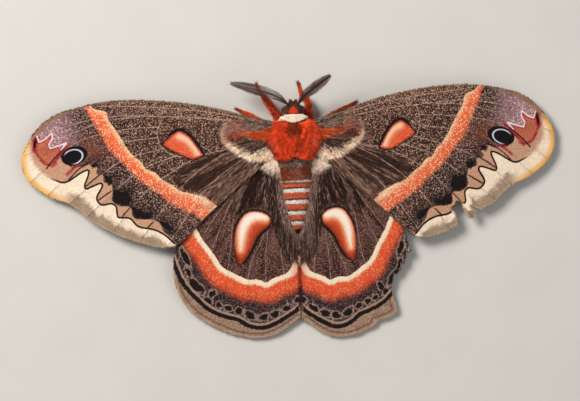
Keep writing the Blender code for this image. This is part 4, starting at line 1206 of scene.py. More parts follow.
def hindwing_values(wing):
    """What the hindwing's material reads."""
    p = design_places(wing.plan, wing.kind, wing.side)
    x, y = p.T
    black = smooth_path(BLACK_LINE, 0.5)
    return {
        "lunule": signed(p, smooth_path(LUNULE, 0.5, closed=True)),
        "lunule_top": ramp(y + 0.4 * (x - 12.0), -24.5, -21.5),
        "lunule_low": ramp(x, 16.5, 13.5) * ramp(y, -22.5, -25.0),
        "core": core_gap(p),
        "cream": beyond(p, smooth_path(CREAM_LINE, 0.6), BELOW_CORNERS),
        "black": beyond(p, black, BELOW_CORNERS),
        "blotch": blotch_gap(p, black),
        "edge": wing.edge,
        "vein": wing.vein,
        "inner": ramp(x, 9.0, 1.5) * ramp(y, -34.0, -28.0),
        "base": ramp(y, -22.0, -8.0),
        "low": ramp(x, 24.0, 30.0),
        "middle": ramp(x, 3.6, 0.8),
        "flow": wing.flow(26.0, 0.14),
    }


def hindwing_look():
    """The hindwing: hairy ground, lunule, cream and red band, blotches and lined margin."""
    g, grain, fine, streaks, ragged = wing_graph("hindwing_scales", 0.4)
    coarse = g.noise(0.7)
    small = ragged * 0.35
    vein, edge, middle = g["vein"], g["edge"], g["middle"]
    cream = g["cream"] + small * 1.6
    black = g["black"] + small * 1.4

    # The lunule, with a pale core in a dark rim
    lunule = g["lunule"] + ragged * 0.6
    shadow = lunule + g["lunule_top"] * 0.3 + g["lunule_low"] * 0.55
    core = g["core"] + ragged * 0.9
    lunule_tone = g.paint(
        g.mix(lunule.step(0.0, 1.5), "74200C", "BE3E1A"),
        (core.step(2.2, 0.6) * lunule.step(0.15, 0.8), "DC5E32"),
        (core.step(1.4, 0.2) * lunule.step(0.1, 0.7), "F39E6E"),
        (core.step(0.7, -0.5) * lunule.step(0.1, 0.8), "FFF0E0"),
        (g.specks(6.0, 0.4) * core.step(-0.9, 0.4) * 0.3, "E07A4C"),
        (g.specks(6.6, 0.3) * core.step(2.6, 0.6) * 0.35, "FFD8B8"))
    ground = g.paint(
        g.mix(streaks.step(0.35, 0.68), "321B17", "62403A"),
        (g["inner"] * streaks.step(0.35, 0.6), "84604C"),
        (g["base"] * streaks.step(0.5, 0.7) * 0.5, "AC8470"),
        (g.specks(4.2, 0.3) * 0.7, "BE8C7C"),
        (vein.step(0.2, 0.06) * fine.step(0.35, 0.55) * 0.7, "C09E8C"),
        (shadow.step(-0.35, 0.1), "160D0B"),
        (lunule.step(-0.02, 0.22), lunule_tone))

    # The red band and the dark field behind it
    rays = vein.step(0.3, 0.12) * fine.step(0.38, 0.55) * black.step(-4.6, -2.4)
    dark = g.paint(
        g.mix(grain.step(0.3, 0.7), "1E1416", "3E2A2E"),
        (g.specks(4.4, 0.27) * 0.6, "A88880"),
        (rays * 0.8, "B29484"))
    reach = cream + ragged * 1.5
    rest = reach - (g["low"] * -0.4 + 6.1)
    band = g.paint(
        g.mix(reach.step(0.8, 1.8), "F08A5A", "E8592F"),
        (rest.step(-2.4, -0.2), "A83E28"),
        (g.specks(3.0, 0.34) * 0.55, "FAB48A"),
        (g.specks(2.5, 0.25) * 0.6, "B43A20"),
        (middle * reach.step(4.2, 1.4) * 0.8, g.mix(fine.step(0.35, 0.65), "8E2420", "D2503A")))

    # The blotches, the lines and the margin
    blotch = g["blotch"] + (ragged + coarse.swing(0.7)) - 0.09
    ring = abs(blotch + 0.2).step(0.25, 0.1) * fine.step(0.34, 0.56)
    tan_line = abs(black + 0.68).step(0.44, 0.18)
    bar = coarse.swing(0.5) + 0.62 - abs(black - 0.25)
    margin = g.paint(
        g.mix(grain.step(0.3, 0.7), "8A6A58", "B2917A"),
        (abs(edge - 1.15).step(0.34, 0.1) * 0.7, "5E4236"),
        (edge.step(0.55, 0.25), "C09C82"),
        (vein.step(0.14, 0.05) * 0.5, "4E362C"))
    outside = g.paint(
        band,
        (rest.step(-1.1, 0.7), dark),
        (blotch.step(-0.1, 0.12), "18100F"),
        (ring * 0.75, "BC9A88"),
        (tan_line * 0.92, g.mix(fine, "94705E", "C4A48E")),
        (bar.step(-0.06, 0.14), "181110"),
        (black.step(0.72, 0.98), margin))

    line = cream.step(-0.1, 0.05) * (cream + ragged - middle * 0.7).step(1.75, 1.0)
    line_tone = g.mix(middle, g.mix(fine, "F6D8B2", "FFEFD4"), g.mix(fine, "E09A78", "F6CDB0"))
    colour = g.paint(ground, (cream.step(-0.05, 0.1), outside), (line, line_tone))
    return finish_wing(g, colour, vein, streaks)


# Hair on the wings

FRINGE_PER_MM = 7.0
FRINGE_LENGTH = (0.3, 0.6)
BASE_PATCH = ((5.2, 5.2), (12.0, 6.4), (17.5, 5.6), (19.6, 3.4), (19.6, 1.0), (18.2, -1.0),
              (15.4, -3.1), (12.0, -4.9), (8.5, -5.0), (5.2, -4.4))
BASE_TUFTS = 6000
BAND_END = ((26.6, -15.3), (23.9, -17.6))
BAND_TUFTS = 420
INNER_PATCH = ((7.5, -3.4), (17.0, -1.0), (30.0, -6.0), (35.0, -11.8), (31.5, -13.2),
               (25.6, -15.6), (22.6, -17.4), (17.2, -12.9), (9.8, -6.9))
INNER_TUFTS = 5200
CREAM_ROOT = ((3.9, -4.5), (6.7, -4.0))
CREAM_TUFTS = 4200
HAIR_PATCH = ((4.0, -5.0), (9.0, -6.0), (16.0, -12.0), (17.5, -17.5), (11.0, -18.5),
              (6.6, -22.0), (4.6, -30.0), (0.4, -32.5), (0.4, -26.0), (3.4, -17.0))
HAIR_TUFTS = 6800
MIDDLE_TUFTS = 260
FLANK_TUFTS = 2400
# Share of a hair's length, and its height there as a share of its lift
HAIR_RISE = ((0.0, -0.05), (0.5, 1.1), (1.0, 0.45))
# How the wings lie on their unwrap
UNWRAP_MIDDLE = (0.5, 0.75)
UNWRAP_SCALE = 0.0062


def scatter(draw, outline, count):
    """Even random places inside an outline."""
    outline = np.array(outline, float)
    low, high = outline.min(axis=0), outline.max(axis=0)
    found = np.zeros((0, 2))
    while len(found) < count:
        tries = draw.uniform(low, high, (count, 2))
        found = np.vstack([found, tries[inside(tries, outline)]])
    return found[:count]


def along_root(draw, ends, count, stray):
    """Places along a short line, each strayed a little, and their shares of its length."""
    share = draw.uniform(0.0, 1.0, count)
    start, end = np.array(ends)
    return start + (end - start) * share[:, None] + draw.normal(0, stray, (count, 2)), share


def wing_tufts(draw, wing, roots, heading, length, lift, width, tint):
    """Hairs that lie on a wing; heading is their direction out from the body, in radians."""
    length, lift, width = (between(draw, each, len(roots)) for each in (length, lift, width))
    points = []
    for share, rise in HAIR_RISE:
        flat = roots + toward(heading, length * share)
        height = wing.height(flat) + SHEET_HALF + rise * lift
        points.append(rows(flat[:, 0] * wing.sign, flat[:, 1], height))
    spot = np.array(UNWRAP_MIDDLE) + UNWRAP_SCALE * roots * (wing.sign, 1.0)
    return curved_tufts(draw, *points, UP, width, tint, spot, 2)


def fringe_tufts(draw, wing):
    """Short hairs off the free margin."""
    line = wing.outline[:wing.free]
    run = path_run(line)
    at = np.sort(draw.uniform(run[12], run[-12], int(run[-1] * FRINGE_PER_MM)))
    roots = read_path(line, run, at)
    x, y = (read_path(line, run, at + 0.3) - roots).T
    heading = np.arctan2(y, x) + math.pi / 2 + draw.uniform(-0.5, 0.5, len(at))
    place = design_places(roots, wing.kind, wing.side)
    if wing.kind == "forewing":
        rim = beyond(place, smooth_path(TOOTH_LINE, 0.6), MARGIN_CORNERS)
        light = paint("E9C48A", (0.6 * ramp(place[:, 0], 66.0, 58.0), "B99E82"))
    else:
        rim = beyond(place, smooth_path(BLACK_LINE, 0.6), BELOW_CORNERS)
        light = "BFA78F"
    tint = paint("57473A", (rim > 0.2, light))
    length = draw.uniform(*FRINGE_LENGTH, len(at))
    return wing_tufts(draw, wing, roots - toward(heading, 0.12), heading, length,
                      (0.0, 0.12), (0.08, 0.14), tint)


def base_tufts(draw, wing):
    """The thick hair of the forewing's root: grey, red, dark and a cream arc round them."""
    places = scatter(draw, BASE_PATCH, BASE_TUFTS)
    x, y = places.T
    arc, red, dark = (line_gap(places, line) for line in (BASE_ARC, BASE_RED, BASE_DARK))
    coin = draw.uniform(0, 1, len(x))
    angle = np.arctan2(y - 2.6, x - 1.0)
    tuft = clumps(draw, angle, x, 0.035, 5.0)
    pick = coin + 0.45 * tuft
    low = ramp(y, 2.5, -2.0)
    reddish = red + coin * 0.9 < 3.0 - 0.17 * x
    faded = (red < 1.6) & (pick > 0.98 - 0.045 * np.maximum(x - 6.0, 0.0))
    tint = paint("4E3A32",
                 (pick < 0.5, "AE8F80"),
                 (dark + coin * 0.8 < 2.5, "3A2822"),
                 ((dark < 2.9) & (pick > 0.72), "8A6A5C"),
                 (reddish, "DC4E1E"),
                 (reddish & (tuft > 0.4), "F07A3C"),
                 (faded, "8A5A48"),
                 ((x > 13.5) & (y > 0.5) & (coin > 0.72), "BC5A40"),
                 (arc + coin * (0.9 + 1.3 * low) < 1.35 + 1.2 * low,
                  paint("C8A490", (low, 1.2 * ink("FFDCC0")))))
    heading = angle + draw.normal(0, 0.13, len(x)) - 0.12
    heading = np.where(arc < 1.6, heading * 1.15 - 0.1, heading)
    length = draw.uniform(1.1, 2.1, len(x))
    roots = fit_to_side(places, "forewing", wing.side)
    return wing_tufts(draw, wing, roots, heading, length,
                      draw.uniform(0.15, 0.45, len(x)) + 0.15 * tuft, (0.06, 0.11),
                      tint * (1 + 0.3 * tuft[:, None]))


def band_tufts(draw, wing):
    """Pale hair that frays the inner end of the forewing's band."""
    places, share = along_root(draw, BAND_END, BAND_TUFTS, 0.45)
    heading = -2.3 + draw.normal(0, 0.3, BAND_TUFTS)
    reach = ramp(share + draw.normal(0, 0.2, BAND_TUFTS), 0.5, 1.0)
    tint = paint(1.15 * ink("F9D2B4"), (reach, 1.2 * ink("EC8058")))
    roots = fit_to_side(places, "forewing", wing.side)
    return wing_tufts(draw, wing, roots, heading, (0.5, 1.2), (0.02, 0.1), (0.05, 0.08), tint)


def inner_hair(draw, wing):
    """Long pale and dark hairs along the forewing's inner margin, short of the band."""
    places = scatter(draw, INNER_PATCH, INNER_TUFTS)
    x, y = places.T
    angle = np.arctan2(y - 3.0, x - 3.0)
    tuft = clumps(draw, angle, x, 0.022, 9.0)
    coin = draw.uniform(0, 1, len(x)) + 0.3 * tuft
    rear = ramp(y + 6.9 + 0.82 * (x - 9.8), 6.5, 1.0)
    tint = paint(paint("66463A", (rear, "8C6856")),
                 (coin < 0.5, paint("33201A", (rear, "44302A"))),
                 (coin > 0.92 - 0.1 * rear, "D2AA94"))
    length = draw.uniform(2.2, 4.0, len(x))
    line = smooth_path(BAND_INNER, 0.8)
    tips = places + toward(angle, length)
    keep = ((beyond(places, line, OUTWARD_CORNERS) < -0.5)
            & (beyond(tips, line, OUTWARD_CORNERS) < -0.3))
    roots = fit_to_side(places, "forewing", wing.side)[keep]
    return wing_tufts(draw, wing, roots, angle[keep] + draw.normal(0, 0.05, len(roots)),
                      length[keep], (0.06, 0.22), (0.045, 0.075), tint[keep])


def cream_tufts(draw, wing):
    """The cream wedge of hair that fans out behind the forewing's root, beside the waist."""
    places, share = along_root(draw, CREAM_ROOT, CREAM_TUFTS, 0.35)
    heading = -math.pi / 2 + 0.04 + 0.8 * share ** 1.2 + draw.normal(0, 0.07, CREAM_TUFTS)
    tuft = clumps(draw, heading, share, 0.05, 0.5)
    start = draw.uniform(0.0, 1.0, CREAM_TUFTS) * (4.4 - 1.6 * share)
    length = draw.uniform(1.7, 2.9, CREAM_TUFTS) + 0.3 * tuft
    brown = draw.uniform(0, 1, CREAM_TUFTS) < 0.04 + 0.6 * ramp(start, 1.8, 4.0)
    tint = paint(ink("FFE4D2") * (1.12 + 0.16 * tuft[:, None]), (brown, "8E6C5E"))
    lift = draw.uniform(0.4, 0.8, CREAM_TUFTS) + 1.1 - 0.24 * start + 0.2 * tuft
    return wing_tufts(draw, wing, places + toward(heading, start), heading, length, lift,
                      (0.07, 0.12), tint)


def clear_of_lunule(wing, places, heading, length, margin):
    """Which hairs stay off the hindwing's lunule."""
    shape = smooth_path(LUNULE, 0.8, closed=True)
    keep = np.ones(len(places), bool)
    for share in (0.0, 0.35, 0.7, 1.0):
        at = places + toward(heading, length * share)
        keep &= signed(design_places(at, wing.kind, wing.side), shape) < -margin
    return keep


def long_hair(draw, wing):
    """Long hairs over the hindwing's root and inner part."""
    places = scatter(draw, HAIR_PATCH, HAIR_TUFTS)
    x, y = places.T
    angle = np.arctan2(y - 6.0, x - 4.0)
    near = ramp(x, 8.5, 3.0)
    heading = (angle + draw.normal(0, 0.07, len(x))) * (1 - near) + near * (-math.pi / 2 - 0.06)
    tuft = clumps(draw, angle * (1 - near) + near * x * 0.12, y, 0.03, 7.0)
    coin = draw.uniform(0, 1, len(x)) + 0.4 * tuft
    tint = paint("533730",
                 (coin < 0.58, "2A1713"),
                 (coin > 0.92, "C29E8E"),
                 (0.35 * near * (coin > 0.3), "8A6C5E"))
    length = draw.uniform(2.4, 4.4, len(x))
    keep = clear_of_lunule(wing, places, heading, length, 0.15)
    return wing_tufts(draw, wing, places[keep], heading[keep], length[keep],
                      (0.12, 0.4), (0.045, 0.075), tint[keep])


def middle_tufts(draw, wing):
    """Short hair off the hindwing's inner margin, in the colours it crosses."""
    y = draw.uniform(-47.5, -32.0, MIDDLE_TUFTS)
    x = draw.uniform(0.15, 0.75, MIDDLE_TUFTS)
    tint = paint("F8CFB2",
                 (ramp(y, -33.8, -35.2), "B03A2A"),
                 (ramp(y, -39.8, -41.6), "3A2628"),
                 (ramp(y, -45.8, -46.6), "94745F"))
    tint = tint * draw.uniform(0.7, 1.3, MIDDLE_TUFTS)[:, None]
    heading = -math.pi / 2 - draw.uniform(0.1, 0.75, MIDDLE_TUFTS)
    return wing_tufts(draw, wing, rows(x, y), heading, (0.5, 0.95), (0.05, 0.2), (0.06, 0.1), tint)


def flank_tufts(draw, wing):
    """Brown hair that lies along the abdomen and closes behind its tip."""
    y = draw.uniform(-29.0, -7.4, FLANK_TUFTS)
    beside = np.where(y > TAIL_END, body_at(y)[0], 0.3 + 0.1 * (y + 31.0))
    x = beside + np.minimum(draw.exponential(0.55, len(y)) - 0.3, 1.8)
    tuft = clumps(draw, x, y, 0.3, 3.0)
    heading = -math.pi / 2 + (-0.12 + draw.normal(0, 0.12, len(y)) + 0.14 * tuft)
    coin = draw.uniform(0, 1, len(y)) + 0.3 * tuft
    tint = paint("745850", (coin < 0.5, "C8A594"), (ramp(y, -22.0, -28.0) * 0.8, "48332E"))
    length = draw.uniform(2.0, 3.4, len(y))
    lift = draw.uniform(0.2, 0.9, len(y)) * ramp(y, -30.0, -18.0) + 0.15
    return wing_tufts(draw, wing, rows(x, y), heading, length, lift, (0.05, 0.085), tint)


# The body's coat

# How many tufts each part has
BACK_TUFTS, SIDE_TUFTS, LOBE_TUFTS = 11000, 4800, 2400
WAIST_TUFTS, FUZZY_TUFTS, HEM_TUFTS = 2600, 3600, 700
ABDOMEN_TUFTS, BELLY_TUFTS = 15000, 7000
COLLAR_TUFTS, NECK_TUFTS = 3600, 1800
FACE_TUFTS, BROW_TUFTS, CHEEK_TUFTS = 3600, 900, 1100
MUZZLE_TUFTS, PALP_TUFTS = 900, 520
PALP_RADII = (0.3, 0.36, 0.3, 0.14)


def even_turns(draw, count, low, high):
    """Angles down from the top on both sides, in degrees made radians."""
    return np.radians(draw.uniform(low, high, count)) * draw.choice((-1.0, 1.0), count)


def rear_edge(x):
    """How far back the red fur of the thorax reaches: two lobes with a notch between."""
    return np.interp(np.abs(x), (0.0, 0.9, 2.0, 3.4, 5.0, 6.4, 7.6),
                     (-4.7, -5.2, -5.7, -5.7, -5.2, -4.2, -2.0))


def side_reach(y):
    """How far out the fur of the thorax reaches."""
    return np.interp(y, (-5.4, -4.2, -2.8, -1.4, 0.0, 1.5, 3.5, 5.0, 6.0),
                     (4.8, 6.0, 7.0, 7.5, 7.5, 7.0, 6.3, 6.0, 5.7))


def thorax_top(draw):
    """The combed red fur of the back, parted a little at the middle of its rear edge."""
    count = BACK_TUFTS
    y = draw.uniform(-4.3, 5.5, count)
    turn = np.radians(np.abs(draw.uniform(-1, 1, count)) ** 0.9 * 56)
    turn = turn * draw.choice((-1.0, 1.0), count) * (1 + 0.2 * draw.uniform(0, 1, count))
    sweep = clumps(draw, turn * 5.0, y, 0.55, 2.2)
    lean = turn * (0.25 + 0.75 * ramp(y, -3.5, 1.5)) + draw.normal(0, 0.06, count) + 0.16 * sweep
    tuft = clumps(draw, turn * 5.0 - y * 0.4 * np.sign(turn), y, 0.3, 2.2)
    rear = ramp(y, 1.0, -3.9)
    length = 1.9 + 1.2 * rear * ramp(np.abs(turn), 0.0, 0.25) + draw.uniform(-0.3, 0.5, count)
    x = body_at(y)[0] * np.sin(turn)
    length = np.minimum(length, (y - rear_edge(x)) * draw.uniform(0.85, 1.06, count))
    length = np.maximum(length, 0.3)
    lift = 0.8 + 0.4 * rear + 0.36 * tuft + draw.uniform(-0.2, 0.35, count)
    tint = body_tint(np.minimum(y, 4.7) - 0.3 * length, turn) * (1 + 0.5 * tuft[:, None])
    tint = tint * draw.uniform(0.65, 1.3, count)[:, None]
    tint = paint(tint, (0.4 * (draw.uniform(0, 1, count) < 0.16), PALE_RED))
    return body_tufts(draw, y, turn, lean, length, lift, (0.08, 0.14), tint=tint)


def thorax_sides(draw):
    """Fur that sweeps from the shoulders out over the wings' roots."""
    count = SIDE_TUFTS
    groups = []
    for sign in SIGNS.values():
        y = draw.uniform(-4.0, 5.4, count)
        turn = np.radians(32 + 52 * draw.uniform(0, 1, count) ** 0.6)
        root, out = body_surface(y, turn)
        tuft = clumps(draw, y + 2.0 * turn, turn, 0.3, 0.5)
        front = ramp(y, 3.6, 5.2)
        back = 2.4 + 1.0 * ramp(y, 2.0, -4.0) - 2.0 * front * draw.uniform(0.2, 1.0, count)
        back = back + draw.uniform(-0.25, 0.5, count) + 0.25 * tuft
        share = draw.uniform(0.4, 1.0, count) ** 0.7 * (1.02 + 0.15 * tuft)
        stray = draw.uniform(0, 1, count) < 0.07
        share = np.where(stray, draw.uniform(1.0, 1.22, count), share)
        tip_x = root[:, 0] + np.maximum(side_reach(y - back) - root[:, 0], 0.2) * share
        tip_y = np.maximum(y - back, rear_edge(tip_x) + draw.uniform(-0.2, 0.5, count))
        floor = wing_height(tip_x, tip_y) + SHEET_HALF + 0.1 + draw.uniform(0.0, 0.5, count)
        tip = rows(tip_x, tip_y, np.maximum(root[:, 2] - 0.3 * (tip_x - root[:, 0]), floor))
        bend = 0.5 * (root + tip) + out * (0.6 + 0.25 * tuft)[:, None] + 0.3 * UP
        tint = body_tint(np.minimum(y, 4.7), turn) * (1 + 0.26 * tuft[:, None])
        pale = 0.4 * (draw.uniform(0, 1, count) < 0.2)
        dusky = draw.uniform(0, 1, count) < 0.2 * ramp(tip_x, 5.6, 7.2) * ramp(tip_y, 0.5, -2.0)
        tint = paint(tint, (pale, PALE_RED), (dusky, "A07A68"))
        side = np.array([sign, 1.0, 1.0])
        groups.append(curved_tufts(draw, root * side, bend * side, tip * side, out * side,
                                   (0.08, 0.13), tint, body_spot(y, turn * sign)))
    return groups


def rear_lobes(draw):
    """The two rounded lobes of red fur that end the back, with a notch between."""
    count = LOBE_TUFTS
    side = draw.choice((-1.0, 1.0), count)
    y = draw.uniform(-4.4, -2.6, count)
    turn = side * np.radians(draw.uniform(4, 50, count))
    x = body_at(y)[0] * np.sin(turn)
    lean = side * (0.25 - 0.14 * np.abs(x)) + draw.normal(0, 0.12, count)
    length = np.maximum((y - rear_edge(x)) * draw.uniform(0.8, 1.08, count), 0.35)
    tint = paint(BRIGHT_RED, (draw.uniform(0.0, 0.5, count) ** 1.3, DARK_RED))
    return body_tufts(draw, y, turn, lean, length, (0.9, 1.5), (0.08, 0.13), tint=tint)


def waist(draw):
    """Grey-brown hair between thorax and abdomen, then the fuzzy first segment."""
    count = WAIST_TUFTS
    y = draw.uniform(-7.0, -4.9, count)
    turn = even_turns(draw, count, 0, 95)
    tuft = clumps(draw, turn * 4.5, y, 0.6, 0.7)
    tint = paint("5E483C", (draw.uniform(0, 1, count) + 0.4 * tuft < 0.42, "B69C8A"))
    grey = body_tufts(draw, y, turn, draw.normal(0, 0.4, count) + 1.1 * tuft,
                      draw.uniform(0.6, 1.2, count), draw.uniform(0.5, 0.9, count) + 0.3 * tuft,
                      (0.08, 0.14), tint=tint)
    count = FUZZY_TUFTS
    y = draw.uniform(-11.2, -7.0, count)
    turn = even_turns(draw, count, 0, 95)
    tuft = clumps(draw, turn * 4.0, y, 0.7, 0.8)
    lean = np.sign(turn) * 0.8 * ramp(np.abs(turn), 0.0, 0.5) + draw.normal(0, 0.2, count)
    pick = draw.uniform(0, 1, count) + 0.5 * tuft
    middle = 0.2 * ramp(np.abs(turn), 0.35, 0.1)
    tint = paint("7E3822", (pick < 0.16 + middle, "A07C6C"), (pick > 0.7, "B85230"))
    fuzzy = body_tufts(draw, y, turn, lean + 0.7 * tuft, draw.uniform(0.8, 1.4, count),
                       draw.uniform(0.35, 0.7, count) + 0.2 * tuft, (0.08, 0.13), tint=tint)
    count = HEM_TUFTS
    y = draw.uniform(-11.5, -11.05, count)
    turn = even_turns(draw, count, 0, 90)
    tint = paint(WHITE, (draw.uniform(0, 0.6, count), GREY_BROWN))
    hem = body_tufts(draw, y, turn, draw.normal(0, 0.3, count), (0.35, 0.65), (0.5, 0.75),
                     (0.08, 0.12), tint=tint)
    return [grey, fuzzy, hem]


def abdomen_coat(draw):
    """Short flat hair in rings, with toothed pale bands."""
    count = ABDOMEN_TUFTS
    y = draw.uniform(-25.7, -11.0, count)
    turn = draw.uniform(-math.pi, math.pi, count)
    side = ramp(np.abs(turn), 1.15, 1.5)
    length = 0.5 + 0.3 * side + draw.uniform(-0.1, 0.2, count)
    lift = 0.12 + 0.14 * side + draw.uniform(0.0, 0.08, count)
    teeth = 0.2 * clumps(draw, turn * 3.0, y, 0.25, 0.6)
    tint = body_tint(y - 0.6 * length + teeth, turn, draw.uniform(-0.12, 0.12, count))
    tint = tint * draw.uniform(0.7, 1.3, count)[:, None]
    pale = (tint[:, 2] > 0.3)[:, None]
    tint = np.where(pale, tint * draw.uniform(1.1, 1.35, count)[:, None], tint)
    return body_tufts(draw, y, turn, draw.normal(0, 0.12, count), length, lift, (0.09, 0.14),
                      rings=2, tint=tint)


def belly_coat(draw):
    """Flat hair under the thorax and waist."""
    y = draw.uniform(-11.2, 5.0, BELLY_TUFTS)
    turn = even_turns(draw, BELLY_TUFTS, 92, 180)
    length = draw.uniform(0.9, 1.7, BELLY_TUFTS)
    return body_tufts(draw, y, turn, draw.normal(0, 0.2, BELLY_TUFTS), length, (0.2, 0.5),
                      (0.09, 0.15), rings=2)


def collar_edges(x):
    """Front and rear of the pale collar, a lens across the neck."""
    share = np.minimum(np.abs(x) / 4.2, 1.0)
    return 7.4 - 0.95 * share ** 2, 4.85 + 1.5 * share ** 1.5


def collar_coat(draw):
    """The pale collar: a lens of dense scales across the neck, thinner round the sides."""
    count = COLLAR_TUFTS
    u = draw.uniform(-1.0, 1.0, count)
    root_x = 3.1 * u
    front, rear = collar_edges(root_x * 1.2)
    root_y = rear + 0.35 + (front - rear - 0.4) * draw.uniform(0.0, 1.0, count)
    turn = np.arcsin(np.clip(root_x / body_at(root_y)[0], -0.97, 0.97))
    root = body_surface(root_y, turn)[0]
    tuft = clumps(draw, root_x, root_y, 0.3, 0.9)
    heading = u * 1.25 + draw.normal(0, 0.12, count) + 0.25 * tuft
    length = draw.uniform(0.7, 1.25, count)
    tip = root + rows(np.sin(heading), -np.cos(heading), 0.0) * length[:, None]
    tip[:, 0] = np.clip(tip[:, 0], -4.3, 4.3)
    tip[:, 1] = np.maximum(tip[:, 1], collar_edges(tip[:, 0])[1] + draw.uniform(-0.25, 0.3, count))
    wide, tall, middle = body_at(tip[:, 1] - 0.9)
    level = np.clip(np.abs(tip[:, 0]) / wide, 0.0, 0.95)
    tip[:, 2] = middle + tall * np.sqrt(1 - level ** 2) + draw.uniform(0.3, 0.65, count)
    bend = 0.5 * (root + tip) + np.array([0.0, 0.15, 0.55])
    buff = draw.uniform(0, 1, count) < 0.12
    tint = paint(ink("FFECD8") * (1.16 + 0.22 * tuft[:, None]), (buff, "DDB498"))
    top = curved_tufts(draw, root, bend, tip, UP, (0.1, 0.16), tint, body_spot(root_y, turn))
    y = draw.uniform(5.3, 6.9, NECK_TUFTS)
    turn = even_turns(draw, NECK_TUFTS, 62, 180)
    sides = body_tufts(draw, y, turn, draw.normal(0, 0.2, NECK_TUFTS), (0.7, 1.2), (0.2, 0.6),
                       (0.08, 0.13))
    return [top, sides]


def head_coat(draw):
    """Small tufts over the brow and face, and a red tuft between the antennae."""
    y = draw.uniform(7.2, 10.3, FACE_TUFTS)
    turn = draw.uniform(-math.pi, math.pi, FACE_TUFTS)
    _, tall, middle = body_at(y)
    apart = np.hypot(y - EYE_PLACE[1], middle - EYE_PLACE[2] + tall * np.cos(turn))
    keep = (apart > EYE_RADIUS + 0.05) | (np.abs(turn) < 0.75) | (np.abs(turn) > 2.4)
    y, turn = y[keep], turn[keep]
    face = body_tufts(draw, y, turn, math.pi + draw.normal(0, 0.3, len(y)), (0.4, 0.8),
                      (0.15, 0.4), (0.06, 0.1), rings=2)
    y = draw.uniform(6.9, 8.2, BROW_TUFTS)
    turn = draw.normal(0, 0.2, BROW_TUFTS) * ramp(y, 9.0, 7.0)
    lean = math.pi + turn * 1.2 + draw.normal(0, 0.15, BROW_TUFTS)
    brow = body_tufts(draw, y, turn, lean, (0.5, 0.9), (0.7, 1.25), (0.07, 0.12), rings=2,
                      tint="DC4420")
    side = draw.choice((-1.0, 1.0), CHEEK_TUFTS)
    y = draw.uniform(7.1, 8.6, CHEEK_TUFTS)
    turn = side * draw.uniform(0.38, 1.0, CHEEK_TUFTS)
    lean = math.pi - side * 0.4 + draw.normal(0, 0.2, CHEEK_TUFTS)
    cheek = body_tufts(draw, y, turn, lean, (0.6, 1.0), (0.5, 0.9), (0.07, 0.11), rings=2,
                       tint="5A3A2C")
    # Painted shade: the hair round the front of the face is brown
    level = np.sqrt(draw.uniform(0, 1, MUZZLE_TUFTS))
    angle = draw.uniform(0, math.tau, MUZZLE_TUFTS)
    ahead = np.array([0.0, 1.0, 0.0])
    away = rows(np.cos(angle), 0.0, np.sin(angle))
    root = np.array([0.0, 10.3, 6.6]) + away * (0.85 * level)[:, None]
    tip = root + away * 0.35 + draw.normal(0, 0.12, (MUZZLE_TUFTS, 3))
    tip = tip + ahead * draw.uniform(0.2, 0.5, MUZZLE_TUFTS)[:, None] - 0.3 * UP
    muzzle = curved_tufts(draw, root, 0.5 * (root + tip) + ahead * 0.2, tip, away, (0.06, 0.1),
                          SHADED_FACE_BROWN, body_spot(10.3, angle - math.pi), rings=2)
    return [face, brow, cheek, muzzle] + [palp_tufts(draw, sign) for sign in SIGNS.values()]


def palp_path(sign):
    return smooth_path(((0.7 * sign, 8.6, 5.4), (0.8 * sign, 9.8, 5.0),
                        (0.75 * sign, 10.6, 5.1), (0.7 * sign, 11.0, 5.5)), 0.2)


def palp_tufts(draw, sign):
    """Rough red-brown hair round one palp."""
    path = palp_path(sign)
    run = path_run(path)
    share = draw.uniform(0.3, 0.95, PALP_TUFTS)
    angle = draw.uniform(0, math.tau, PALP_TUFTS)
    out = rows(np.cos(angle), 0.0, np.sin(angle))
    radius = read_list(PALP_RADII, share) * 0.85
    root = read_path(path, run, share * run[-1]) + out * radius[:, None]
    reach = draw.uniform(0.45, 0.8, PALP_TUFTS)[:, None]
    tip = root + np.array([0.0, 1.0, 0.15]) * reach + out * 0.35 * reach
    width = draw.uniform(0.06, 0.09, PALP_TUFTS)
    # The palps' red hair, mixed at random with the brown of painted shade
    tint = paint("A83A1E", (draw.uniform(0, 1, PALP_TUFTS), SHADED_FACE_BROWN))
    return curved_tufts(draw, root, 0.5 * (root + tip) + out * 0.08, tip, out, width, tint,
                        body_spot(9.8, out[:, 0] * 0.4 + math.pi * 0.9), rings=2)


# Legs, eyes and antennae

LEG_RADII = (0.7, 1.08, 1.0, 0.78, 0.66, 0.5, 0.42, 0.38, 0.34)
LEG_SIDES = 14
SOLE = 0.3
LEG_JOINTS = (2, 4, 5)
TARSUS_JOINTS = 4
